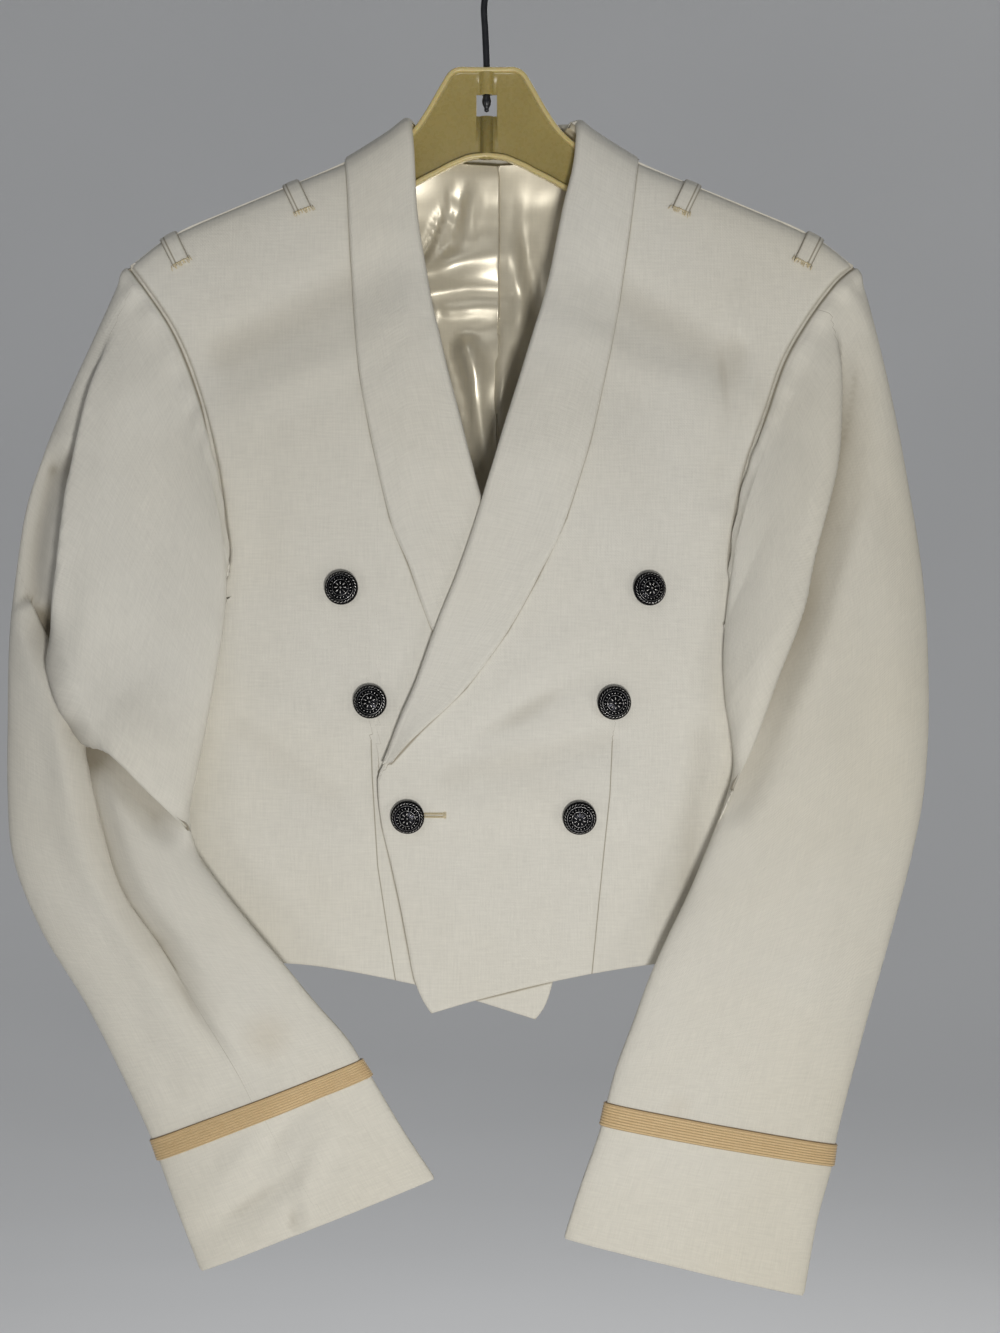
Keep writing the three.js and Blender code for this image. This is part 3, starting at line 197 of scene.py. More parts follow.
def sum_of(tree, operation, *values, **settings):
    """The outcome of a sum on numbers or sockets."""
    sockets = dict(enumerate(values))
    return add_node(tree, "ShaderNodeMath", sockets, operation=operation, **settings).outputs[0]


def vector_sum(tree, operation, *values, output=0, **inputs):
    """The outcome of a sum on vectors or sockets."""
    inputs.update(enumerate(values))
    return add_node(tree, "ShaderNodeVectorMath", inputs, operation=operation).outputs[output]


def mixed_colours(tree, share, first, second):
    return add_node(tree, "ShaderNodeMix", {0: share, 6: first, 7: second}, data_type="RGBA").outputs[2]


def bumped(tree, height, strength, distance):
    raised = {"Height": height, "Strength": strength, "Distance": distance}
    return add_node(tree, "ShaderNodeBump", raised).outputs["Normal"]


def new_group(name, inputs, outputs):
    """A group of nodes with its sockets, given as names and kinds, and its two ends."""
    group = bpy.data.node_groups.new(name, "ShaderNodeTree")
    for way, sockets in (("INPUT", inputs), ("OUTPUT", outputs)):
        for socket, kind in sockets.items():
            group.interface.new_socket(socket, in_out=way, socket_type=kind)
    return group, add_node(group, "NodeGroupInput").outputs, add_node(group, "NodeGroupOutput")


def weave_group():
    """Threads of a cloth: their relief, and a light and dark slub that runs along the weft."""
    group, given, outside = new_group(
        "woven threads",
        {"Place": "NodeSocketVector", "Threads": "NodeSocketFloat"},
        {"Height": "NodeSocketFloat", "Slub": "NodeSocketFloat"},
    )
    count = sum_of(group, "MULTIPLY", given["Threads"], math.pi)
    scaled = vector_sum(group, "SCALE", given["Place"], Scale=count)
    axes = add_node(group, "ShaderNodeSeparateXYZ", {0: scaled}).outputs
    woven = sum_of(group, "MULTIPLY", sum_of(group, "SINE", axes["X"]), sum_of(group, "SINE", axes["Y"]))
    slub = noise(group, vector_sum(group, "MULTIPLY", given["Place"], WEFT_STREAKS), 1.0, 3.0)
    ends = noise(group, vector_sum(group, "MULTIPLY", given["Place"], WARP_STREAKS), 1.0)
    streaks = sum_of(group, "MULTIPLY", sum_of(group, "ADD", slub, ends), 0.5)
    raised = sum_of(group, "MULTIPLY_ADD", woven, 0.25, streaks)
    set_inputs(group, outside, {"Height": raised, "Slub": streaks})
    return group


def age_group():
    """Where a white cloth has yellowed: broad clouds, and small marks at their own places."""
    group, given, outside = new_group(
        "yellowing and marks",
        {"Clouds": "NodeSocketFloat"},
        {"Yellowed": "NodeSocketFloat", "Marked": "NodeSocketFloat"},
    )
    place = object_place(group)
    broad = spread(group, noise(group, place, 5.5, 3.0, 0.55), 0.36, 0.72)
    axes = add_node(group, "ShaderNodeSeparateXYZ", {0: place}).outputs
    sleeve = spread(group, axes["X"], *OLDER_SLEEVE[:2], high=OLDER_SLEEVE[2])
    lower = spread(group, axes["Z"], *OLDER_CUFFS[:2], high=OLDER_CUFFS[2])
    clouds = sum_of(group, "MULTIPLY", broad, given["Clouds"])
    yellowed = sum_of(group, "ADD", clouds, sum_of(group, "ADD", sleeve, lower), use_clamp=True)
    flat = vector_sum(group, "MULTIPLY", place, (1, 0.15, 1))
    marked = 0.0
    for x, z, across, strength in MARKS:
        apart = vector_sum(group, "DISTANCE", flat, (x * MM, 0, z * MM), output="Value")
        spot = spread(group, apart, 0.0, across * MM, strength, 0.0, interpolation_type="SMOOTHSTEP")
        marked = sum_of(group, "MAXIMUM", marked, spot)
    set_inputs(group, outside, {"Yellowed": yellowed, "Marked": marked})
    return group


woven_threads = weave_group()
yellowing = age_group()


def woven(tree, threads_per_metre):
    """The place on the cut, and the relief and the slub of the threads there."""
    place = add_node(tree, "ShaderNodeUVMap", uv_map="cut").outputs["UV"]
    given = {"Place": place, "Threads": threads_per_metre}
    threads = add_node(tree, "ShaderNodeGroup", given, node_tree=woven_threads).outputs
    return place, threads["Height"], threads["Slub"]


def attribute(tree, name, output="Fac"):
    return add_node(tree, "ShaderNodeAttribute", attribute_name=name).outputs[output]


def drill_material():
    material, tree, shader = new_material("off-white drill")
    _, height, slub = woven(tree, DRILL_THREADS)
    age = add_node(tree, "ShaderNodeGroup", {"Clouds": 0.28}, node_tree=yellowing).outputs
    aged = mixed_colours(tree, age["Yellowed"], DRILL_WHITE, DRILL_YELLOWED)
    threaded = vector_sum(tree, "SCALE", aged, Scale=spread(tree, slub, 0.3, 0.7, 0.93, 1.05))
    marked = mixed_colours(tree, age["Marked"], threaded, DRILL_MARKED)
    # Painted shadow line beside the nearest seam, lap or fold edge, and painted shade and grime from the
    # mesh, both mixed towards the dark brown.
    apart = vector_sum(tree, "ABSOLUTE", attribute(tree, "seam", "Vector"))
    each = add_node(tree, "ShaderNodeSeparateXYZ", {0: apart}).outputs
    beside = sum_of(tree, "MINIMUM", sum_of(tree, "MINIMUM", each["X"], each["Y"]), each["Z"])
    line = spread(tree, beside, *SEAM_SHADOW_LINE, 0.8, 0.0)
    shaded_and_grimed = sum_of(tree, "MAXIMUM", attribute(tree, "crease_shade_and_grime"), line)
    set_inputs(tree, shader, {
        "Base Color": mixed_colours(tree, shaded_and_grimed, marked, DRILL_SHADE_AND_GRIME),
        "Normal": bumped(tree, height, 0.7, 0.0003),
        "Roughness": 0.82,
        "Specular IOR Level": 0.25,
        "Sheen Weight": 0.12,
        "Sheen Roughness": 0.45,
    })
    return material


drill = drill_material()

# The two fronts: each is cut in one piece from the shoulder to the pointed hem, with a dart from the middle
# button down to the hem. The left one laps over the right one. They're pressed, and hang nearly flat.
CLOTH = 1.8
SEAM_GAP = 0.3
SEAT = CLOTH + SEAM_GAP
ROUNDNESS = 2.6
SHOULDER = [  # x, z
    (0, -113), (30, -114), (46, -117), (57, -125), (70, -133.5), (83, -141), (97, -146.8), (110, -152),
    (144, -166), (170, -177), (188, -186), (206, -200),
]
BODY_WIDTH = [  # z, half
    (-600, 172), (-530, 178), (-450, 182), (-397, 184), (-365, 190), (-280, 208), (-200, 228),
    (-110, 240),
]
BODY_DEPTH = [  # drop below the shoulder, front, back
    (0, 0, 0), (3, 5.4, 5.4), (8, 8.7, 8.7), (20, 11.5, 12.5), (50, 14, 18), (85, 16, 21),
    (130, 23, 24), (200, 29, 26), (300, 33, 27), (400, 32, 26), (500, 29, 24),
]
FRONT_FOLDS = [  # name, x and z at each end, width, deep
    ("under right arm of hanger", -150, -250, -62, -204, 17, 3.4),
    ("under left arm of hanger", 62, -212, 128, -252, 17, 3.2),
    ("from break to middle button", -22, -490, 64, -470, 13, 2.6),
    ("right waist", -142, -462, -92, -500, 14, 2.4),
    ("left waist", 118, -470, 108, -580, 13, 2.6),
    ("left armhole", 140, -250, 126, -330, 8, 1.8),
]
OVERLAP = {"room": 3, "top": (-322, -250), "lap": (-530, -500), "side": (62, 105)}
SHAWL_LEFT = [  # roll x and z, edge x and z
    (48, -117.5, 83, -141), (46.5, -139, 80.5, -160), (40.5, -167, 77, -187.5),
    (32.5, -207.5, 72, -221.5), (22, -244, 65.5, -255), (9, -286, 55, -302), (-5, -333, 41.5, -345.5),
    (-17.5, -371, 25.5, -379), (-30.5, -403.5, 9, -408.5), (-42, -436, -14.5, -440.5),
    (-52, -460.5, -40, -465), (-60.5, -482, -55.5, -482),
]
SHAWL_RIGHT = [
    (-46, -117, -83, -141), (-44, -138, -81.5, -160), (-42.5, -167, -80, -192.5),
    (-36.5, -208.5, -78, -224.5), (-28.5, -246, -74.5, -262), (-18.5, -285.5, -68, -298),
    (-6, -333, -57, -345.5), (8, -371, -46, -373), (18, -396.5, -33, -408.5),
    (30.5, -430, -7.5, -440.5), (41.5, -457.5, 19.5, -463.5), (50, -479, 42, -481),
]
FRONT_EDGE_LEFT = [  # x, z
    (-63.5, -489), (-63.5, -499.5), (-61.5, -517), (-56.5, -538.5), (-51, -564), (-47, -585.5),
    (-43.5, -603.5), (-39, -615), (-34, -623),
]
FRONT_EDGE_RIGHT = [
    (54, -489), (54, -499.5), (52, -517.5), (47, -539), (41.5, -564.5), (37.5, -586), (34, -606.5),
    (29.5, -619.5), (24.5, -626.5),
]
HEM_LEFT = [(-34, -623), (-8.5, -615.5), (34.5, -605), (75.5, -597.5), (118, -593)]
HEM_RIGHT = [(24.5, -626.5), (-9, -616), (-43, -607), (-95.5, -597), (-128, -594.5)]
SIDE_HEM_Z = -592
ARMPIT_Z = -397
ARMHOLE_LEFT = [
    (206, -200), (197, -207), (181, -227), (165, -254), (155, -282), (143, -316), (136, -350),
    (134, -376),
]
ARMHOLE_RIGHT = [
    (-206, -200), (-199, -209), (-179, -239), (-164, -277), (-154, -318), (-150, -345), (-148, -368),
]
UNDERARM = [(0.16, 0.62), (0.5, 0.93)]  # along and down, as shares of the way from the corner to the armpit
SOFT_WAVES = [  # x, z, half the length, turn in degrees, width, height; low waves in the pressed fronts
    (-50, -245, 55, 35, 9, -1.0),
    (-105, -262, 50, 20, 11, 1.2),
    (92, -262, 40, -25, 10, 1.1),
    (60, -232, 36, -32, 8, -0.9),
    (10, -478, 60, 14, 8, 1.4),
    (22, -452, 46, 22, 7, -1.5),
    (20, -430, 44, 28, 8, 0.9),
    (140, -242, 34, 78, 5, 1.7),
    (132, -270, 32, 84, 5, -1.8),
    (147, -276, 28, 74, 4.5, 1.6),
    (-118, -452, 44, -38, 10, 1.4),
    (-112, -496, 48, -46, 10, -1.1),
    (-96, -540, 44, -75, 9, 1.0),
    (112, -540, 50, 80, 9, -1.2),
    (88, -560, 40, 84, 8, 0.9),
    (-128, -345, 38, 82, 8, -1.0),
    (-20, -560, 36, 78, 9, 0.7),
]
DART = {"deep": 0.6, "ridge": 0.45, "width": 2.6, "beside": 3.2, "start": 0.1}
BUTTON_DIP = {"deep": 0.5, "width": 10, "above_dart": 10}
NO_SEAM = 9.0  # a distance from a seam at which nothing shows
DARTS = {  # x and z from the button down to the hem
    "left": [(68, -458), (66, -500), (60, -560), (56, -602)],
    "right": [(-68, -458), (-67, -490), (-64, -540), (-58, -580), (-54, -605)],
}


def smooth(value, low, high):
    share = np.clip((value - low) / (high - low), 0, 1)
    return share * share * (3 - 2 * share)


def column(rows, across=0, value=1):
    """A smooth line through two columns of a table, which never swings past its rows."""
    table = np.array(sorted((row[across], row[value]) for row in rows), float)
    at, to = table.T
    run = np.diff(at)
    rate = np.diff(to) / run
    slope = np.concatenate([rate[:1], rate[1:], rate[-1:]])
    product = rate[:-1] * rate[1:]
    total = np.where(product > 0, rate[:-1] + rate[1:], 1)
    slope[1:-1] = np.where(product > 0, 2 * product / total, 0)

    def value_at(place):
        x = np.clip(place, at[0], at[-1])
        i = np.clip(np.searchsorted(at, x) - 1, 0, len(at) - 2)
        t = (x - at[i]) / run[i]
        bend = t * (1 - t) * run[i] * ((1 - t) * slope[i] - t * slope[i + 1])
        return to[i] + (to[i + 1] - to[i]) * t * t * (3 - 2 * t) + bend

    return value_at


def smooth_line(points):
    """A curve through points, which gives the place at each share of the way through its rows."""
    row = np.array(points, float)
    row = np.vstack([2 * row[0] - row[1], row, 2 * row[-1] - row[-2]])
    gap = np.maximum(np.sum(np.diff(row, axis=0) ** 2, axis=1) ** 0.25, 1e-4)

    def place_at(share):
        place = np.asarray(share, float) * (len(row) - 3)
        i = np.clip(np.floor(place).astype(int), 0, len(row) - 4)
        t = (place - i)[..., None]
        a, b, c, d = row[i], row[i + 1], row[i + 2], row[i + 3]
        before, here, after = gap[i][..., None], gap[i + 1][..., None], gap[i + 2][..., None]
        leave = ((b - a) / before - (c - a) / (before + here) + (c - b) / here) * here
        arrive = ((c - b) / here - (d - b) / (here + after) + (d - c) / after) * here
        square, cube = 3 * (c - b) - 2 * leave - arrive, 2 * (b - c) + leave + arrive
        return b + leave * t + square * t**2 + cube * t**3

    return place_at


def even_line(points, shares):
    """Places at even distances along a curve through points."""
    line = smooth_line(points)
    fine = np.linspace(0, 1, 801)
    steps = np.linalg.norm(np.diff(line(fine), axis=0), axis=1)
    length = np.concatenate([[0], np.cumsum(steps)])
    return line(np.interp(np.asarray(shares) * length[-1], length, fine))


def near_path(path, x, z):
    """How far points are from a path, on which side of it, how far along it, and the direction from it."""
    nearest = np.full(np.shape(x), np.inf)
    side = np.ones(np.shape(x))
    along = np.zeros(np.shape(x))
    away = np.zeros(np.shape(x) + (2,))
    for i, ((ax, az), (bx, bz)) in enumerate(zip(path[:-1], path[1:])):
        dx, dz = bx - ax, bz - az
        t = np.clip(((x - ax) * dx + (z - az) * dz) / (dx * dx + dz * dz), 0, 1)
        rx, rz = x - ax - t * dx, z - az - t * dz
        distance = np.hypot(rx, rz)
        closer = distance < nearest
        nearest = np.where(closer, distance, nearest)
        side = np.where(closer, np.where(dx * (z - az) - dz * (x - ax) < 0, -1, 1), side)
        along = np.where(closer, (i + t) / (len(path) - 1), along)
        away[closer] = (np.stack([rx, rz], -1) / np.maximum(distance, 1e-6)[..., None])[closer]
    return nearest, side, along, away


def trough(path, width, deep, x, z):
    return deep * np.exp(-((near_path(path, x, z)[0] / width) ** 2))


def soft_noise(x, z, size, seed):
    """Smooth hills and hollows from -1 to 1, about one size apart."""
    height = np.random.RandomState(seed).uniform(-1, 1, (64, 64))
    gx, gz = x / size + 31.7, z / size + 47.3
    ix, iz = np.floor(gx).astype(int), np.floor(gz).astype(int)
    fx, fz = gx - ix, gz - iz
    fx, fz = fx * fx * (3 - 2 * fx), fz * fz * (3 - 2 * fz)
    corner = lambda i, k: height[(ix + i) % 64, (iz + k) % 64]
    low = corner(0, 0) * (1 - fx) + corner(1, 0) * fx
    high = corner(0, 1) * (1 - fx) + corner(1, 1) * fx
    return low * (1 - fz) + high * fz


def waves_at(waves, x, z):
    """Low ridges and hollows with soft ends, each as a row of its table says."""
    total = np.zeros(np.shape(x))
    for cx, cz, half, turn, width, height in waves:
        c, s = math.cos(math.radians(turn)), math.sin(math.radians(turn))
        along = ((x - cx) * c + (z - cz) * s) / half
        across = ((z - cz) * c - (x - cx) * s - 4 * np.sin(along * 1.7)) / width
        total += height * np.exp(-(along**2) * 1.4 - across**2)
    return total


shoulder_line = column(SHOULDER)
body_half = column(BODY_WIDTH)
front_drop = column(BODY_DEPTH, 0, 1)
back_drop = column(BODY_DEPTH, 0, 2)


def shoulder_z(x):
    return shoulder_line(np.abs(x))


def below(x, z):
    return np.maximum(shoulder_z(x) - z, 0)


def side_share(x, z):
    share = np.minimum(np.abs(x) / body_half(z), 1)
    return (1 - share**ROUNDNESS) ** (1 / ROUNDNESS)


def folds_at(folds, x, z):
    return sum(trough([(x1, z1), (x2, z2)], width, deep, x, z) for _, x1, z1, x2, z2, width, deep in folds)


def front_depth(x, z):
    return (front_drop(below(x, z)) - folds_at(FRONT_FOLDS, x, z)) * side_share(x, z)


def over_lift(x, z):
    room = CLOTH + 0.4 + OVERLAP["room"] * smooth(z, *OVERLAP["lap"])
    down = 1 - smooth(z, *OVERLAP["top"])
    return room * down * (1 - smooth(x, *OVERLAP["side"]))


def front_relief(x, z):
    """The fine form of the fronts: low waves, and the unevenness of pressed cloth."""
    uneven = 0.35 * soft_noise(x, z, 34, 3) + 0.16 * soft_noise(x, z, 13, 4)
    return (waves_at(SOFT_WAVES, x, z) + uneven) * smooth(below(x, z), 4, 40)


def on_right_front(x, z):
    return np.stack([x, -front_depth(x, z) - SEAM_GAP / 2, z], -1)


def on_left_front(x, z):
    return np.stack([x, -front_depth(x, z) - over_lift(x, z) - SEAM_GAP / 2, z], -1)


def patch(inner, outer, top, bottom, down, across, surface):
    """A panel between four edges that meet at their corners, pushed onto a surface."""
    v, u = np.asarray(down)[:, None, None], np.asarray(across)[None, :, None]
    left, right = even_line(inner, down)[:, None], even_line(outer, down)[:, None]
    high, low = even_line(top, across)[None], even_line(bottom, across)[None]
    corners = (left[0] * (1 - u) + right[0] * u) * (1 - v) + (left[-1] * (1 - u) + right[-1] * u) * v
    place = left * (1 - u) + right * u + high * (1 - v) + low * v - corners
    return surface(place[..., 0], place[..., 1])


def normals_of(grid, hand):
    down, across = np.gradient(grid, axis=0), np.gradient(grid, axis=1)
    normal = np.cross(down, across) * hand
    return normal / np.maximum(np.linalg.norm(normal, axis=-1), 1e-9)[..., None]


def moved_out(grid, distance, hand):
    distance = np.broadcast_to(distance, grid.shape[:2])
    return grid + normals_of(grid, hand) * distance[..., None]


def lengths_along(grid, axis):
    """How far each point of a grid is from the first one of its row or column."""
    steps = np.linalg.norm(np.diff(grid, axis=axis), axis=2)
    return np.insert(np.cumsum(steps, axis), 0, 0, axis)


def cut_places(grid):
    """Each point's place on the flat cut, in metres: across its row, and down its column."""
    across = np.linalg.norm(np.diff(grid, axis=1), axis=2).mean(0)
    down = np.linalg.norm(np.diff(grid, axis=0), axis=2).mean(1)
    u, v = np.concatenate([[0], np.cumsum(across)]), np.concatenate([[0], np.cumsum(down)])
    return np.stack(np.broadcast_arrays(u[None, :], v[:, None]), -1).reshape(-1, 2) * MM


def turned_in(grid, first=None, last=None, top=None, bottom=None):
    """How far a panel's edges turn in, below 0: each edge has how deep and how wide its turn is."""
    down, across = lengths_along(grid, 0), lengths_along(grid, 1)
    distances = {"first": across, "last": across[:, -1:] - across, "top": down, "bottom": down[-1:] - down}
    turn = np.zeros(grid.shape[:2])
    for name, edge in {"first": first, "last": last, "top": top, "bottom": bottom}.items():
        if edge:
            deep, wide = edge
            turn -= deep * np.exp(-((distances[name] / wide) ** 2))
    return turn


def edged(grid, hand, **edges):
    return moved_out(grid, turned_in(grid, **edges), hand)


def shade_and_grime_on(relief, turn, folds):
    """The painted shade and grime that a flat panel gets in its low waves, at its turned edges and in its
    folds.
    """
    return 0.3 * smooth(-relief, 0.5, 2.2) + 0.4 * smooth(-turn, 0.3, 1.5) + 0.2 * smooth(folds, 1.2, 4)


def shares_across(length, step, edge_steps=(0.3, 0.8, 1.6)):
    """Shares of a length, a step apart, with closer ones at both ends."""
    close = np.array(edge_steps) / length
    first, last = close[-1] + step / length / 2, 1 - close[-1] - step / length / 2
    middle = np.linspace(first, last, max(int(length / step), 2))
    return np.concatenate([[0], close, middle, 1 - close[::-1], [1]])


def softened(grid, passes):
    for _ in range(passes):
        for axis in (0, 1):
            ends = [(1, 1) if k == axis else (0, 0) for k in range(3)]
            wide = np.moveaxis(np.pad(grid, ends, mode="edge"), axis, 0)
            grid = np.moveaxis((wide[:-2] + 2 * wide[1:-1] + wide[2:]) / 4, 0, axis)
    return grid


def hollow_shade_and_grime(grid, hand):
    """How much painted shade and grime each point gets, from how deep it lies below the cloth around it."""
    normal = normals_of(grid, hand)
    near, far = (((softened(grid, passes) - grid) * normal).sum(-1) for passes in (5, 48))
    return np.clip(0.5 * smooth(near, 0.2, 1.3) + 0.42 * smooth(far, 0.8, 4.5), 0, 0.8)


def add_values(made, name, kind, values):
    """Gives each point of a mesh a value, or a vector of three."""
    field = "vector" if kind == "FLOAT_VECTOR" else "value"
    stored = made.data.attributes.new(name, kind, "POINT")
    stored.data.foreach_set(field, np.asarray(values, np.float32).ravel())


def cloth_object(
    name, grid, hand, thickness, material, nodes, flat, area=None,
    seam_and_shadow_lines=(), shade_and_grime=0, laid=False,
):
    """A shell of cloth whose outer face is the grid, which stands for its CAD nodes.

    Each point has distances from up to three seam, lap or crease edges, beside which a painted shadow line
    is drawn. A piece laid flat takes its weave straight from the front and its painted shade and grime as
    given; another gets more painted shade and grime in its hollow places.
    """
    rows, columns = grid.shape[:2]
    corner = (np.arange(rows - 1)[:, None] * columns + np.arange(columns - 1)[None]).ravel()
    quads = np.stack([corner, corner + columns, corner + columns + 1, corner + 1], 1)
    if hand < 0:
        quads = quads[:, ::-1]
    places = grid[..., [0, 2]].reshape(-1, 2) * MM if laid else cut_places(grid)
    made = mesh_object(name, grid.reshape(-1, 3), quads.tolist(), material, places)
    # Painted shade and grime: from how deep each point lies below the cloth around it, and as given.
    crease_shade_and_grime = np.clip((0 if laid else hollow_shade_and_grime(grid, hand)) + shade_and_grime + np.zeros(grid.shape[:2]), 0, 0.8)
    add_values(made, "crease_shade_and_grime", "FLOAT", crease_shade_and_grime)
    # Each point's distances from up to three seam, lap or fold edges, for the painted shadow line beside
    # them.
    seam = np.full(grid.shape, NO_SEAM)
    for k, distance in enumerate(seam_and_shadow_lines):
        seam[..., k] = distance
    add_values(made, "seam", "FLOAT_VECTOR", seam)
    thick = made.modifiers.new("thickness", "SOLIDIFY")
    thick.thickness = thickness * MM
    thick.offset = -1
    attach(made, "root")
    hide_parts(*nodes)
    return made


ROLL_TRIM = 3.6  # the front stops this far short of the roll, inside the turned lapel
FRONT_STEP = 2.6
FRONT_TURNS = {"first": (0.7, 0.8), "last": (1.6, 1.1), "top": (0.5, 1.6), "bottom": (0.7, 0.9)}


def below_corner(corner, armpit):
    """The seam under the arm, from the armhole's corner towards the armpit."""
    (x1, z1), (x2, z2) = corner, armpit
    return [(x1 + (x2 - x1) * along, z1 + (z2 - z1) * down) for along, down in UNDERARM]


def front_grid(side, shawl, edge, hem, armhole, surface, dart):
    trim = [ROLL_TRIM * (1 - smooth(-z, 440, 484)) for _, z, _, _ in shawl]
    inner = [(x + side * t, z) for (x, z, _, _), t in zip(shawl, trim)] + edge
    seam = [(side * float(body_half(z)), z) for z in np.linspace(ARMPIT_Z, SIDE_HEM_Z, 5)]
    under = below_corner(armhole[-1], seam[0])
    top = [(x, float(shoulder_z(x))) for x in np.linspace(inner[0][0], armhole[0][0], 9)]
    bottom = hem + seam[-1:]
    down = shares_across(500, FRONT_STEP) ** 1.25
    across = shares_across(175, FRONT_STEP * 0.85)
    grid = patch(inner, armhole + under + seam, top, bottom, down, across, surface)
    x, z = grid[..., 0], grid[..., 2]
    relief = front_relief(x, z)
    distance, dart_side, along, _ = near_path(dart, x, z)
    inside = smooth(along, 0, DART["start"])
    beside_dart = distance * dart_side - DART["beside"]
    relief -= inside * DART["deep"] * np.exp(-((distance / DART["width"]) ** 2))
    relief += inside * DART["ridge"] * np.exp(-((beside_dart / DART["width"]) ** 2))
    from_button = np.hypot(x - dart[0][0], z - dart[0][1] - BUTTON_DIP["above_dart"])
    relief -= BUTTON_DIP["deep"] * np.exp(-((from_button / BUTTON_DIP["width"]) ** 2))
    turn = turned_in(grid, **FRONT_TURNS)
    grid[..., 1] = np.minimum(grid[..., 1] - relief - turn, -SEAM_GAP / 2)
    shade_and_grime = shade_and_grime_on(relief, turn, folds_at(FRONT_FOLDS, x, z))
    # A dark line along the dart's seam, a painted shadow line along the shawl's edge and, on the right
    # front, another beside the left front's lapped edge and hem.
    seam_and_shadow_lines = [dart_side * (distance * 2.4 + 20 * (1 - inside))]
    lapped_edge = [FRONT_EDGE_LEFT + HEM_LEFT[1:]] if side < 0 else []
    for path in [[(x, z) for _, _, x, z in shawl]] + lapped_edge:
        beside, which_side, _, _ = near_path(path, x, z)
        seam_and_shadow_lines.append(beside * which_side)
    return grid, seam_and_shadow_lines, shade_and_grime


FRONTS = [
    ("left", 1, SHAWL_LEFT, FRONT_EDGE_LEFT, HEM_LEFT, ARMHOLE_LEFT, on_left_front),
    ("right", -1, SHAWL_RIGHT, FRONT_EDGE_RIGHT, HEM_RIGHT, ARMHOLE_RIGHT, on_right_front),
]
for name, side, shawl, edge, hem, armhole, surface in FRONTS:
    grid, seam_and_shadow_lines, shade_and_grime = front_grid(side, shawl, edge, hem, armhole, surface, DARTS[name])
    cloth_object(
        f"front_{name}_cloth", grid, side, CLOTH - 0.2, drill, [f"front_{name}"],
        (0.27, 0.52), 0.088, seam_and_shadow_lines=seam_and_shadow_lines, shade_and_grime=shade_and_grime, laid=True,
    )

# The back is cut in two, sewn at the centre. Its shoulders and sides are sewn to the fronts, and soft folds
# fall from the shoulder blades to the waist.
ARMHOLE_BACK = [(206, -200), (203, -222), (194, -250), (184, -285), (178, -320), (177, -350), (180, -376)]
BACK_NECK = [(0, -146), (22, -143), (38, -131)]
HEM_BACK = [(0, -606), (50, -600), (110, -594)]
BACK_FOLDS = [
    ("right blade", -120, -260, -92, -420, 17, 2.6),
    ("left blade", 128, -250, 98, -400, 16, 2.4),
    ("right waist", -140, -500, -60, -540, 13, 2),
    ("left waist", 60, -520, 150, -488, 13, 2.2),
]
BACK_WAVES = [  # x, z, half the length, turn, width, height
    (-60, -240, 52, 24, 10, 1.2),
    (62, -246, 50, -26, 10, 1.1),
    (-128, -330, 60, 80, 8, -1.2),
    (136, -336, 56, 98, 8, -1.1),
    (-40, -430, 70, 76, 12, 0.8),
    (52, -452, 66, 100, 12, 0.8),
    (-104, -560, 44, -24, 9, 1.1),
    (104, -548, 48, 20, 9, 1.2),
    (0, -500, 60, 4, 10, -0.8),
]


def back_depth(x, z):
    return (back_drop(below(x, z)) - folds_at(BACK_FOLDS, x, z)) * side_share(x, z)


def on_back(x, z):
    return np.stack([x, back_depth(x, z) + SEAM_GAP / 2, z], -1)


def back_grid(side, step=3.2):
    flip = lambda rows: [(side * max(x, SEAM_GAP / 2), z) for x, z in rows]
    shoulder = [(side * x, float(shoulder_z(x))) for x in np.linspace(46, 206, 7)]
    seam = [(side * float(body_half(z)), z) for z in np.linspace(ARMPIT_Z, SIDE_HEM_Z, 5)]
    inner, outer = flip([BACK_NECK[0], HEM_BACK[0]]), flip(ARMHOLE_BACK) + seam
    top, bottom = flip(BACK_NECK) + shoulder, flip(HEM_BACK) + seam[-1:]
    down = shares_across(480, step) ** 1.35
    grid = patch(inner, outer, top, bottom, down, shares_across(200, step), on_back)
    return grid if side > 0 else grid[:, ::-1]


for name, side in (("left", 1), ("right", -1)):
    grid = back_grid(side)
    x, z = grid[..., 0], grid[..., 2]
    relief = waves_at(BACK_WAVES, x, z) + 0.4 * soft_noise(x, z, 38, 8) + 0.16 * soft_noise(x, z, 14, 9)
    relief *= smooth(below(x, z), 4, 40)
    centre, armhole = ("first", "last") if side > 0 else ("last", "first")
    turn = turned_in(grid, **{centre: (0.8, 1.3), armhole: (1.2, 2.2)}, top=(0.5, 1.5), bottom=(0.7, 0.9))
    grid[..., 1] = np.maximum(grid[..., 1] + relief + turn, SEAM_GAP / 2)
    cloth_object(
        f"back_{name}_cloth", grid, -1, CLOTH - 0.2, drill, [f"back_{name}"],
        (0.21, 0.49), 0.091, shade_and_grime=shade_and_grime_on(relief, turn, folds_at(BACK_FOLDS, x, z)), laid=True,
    )

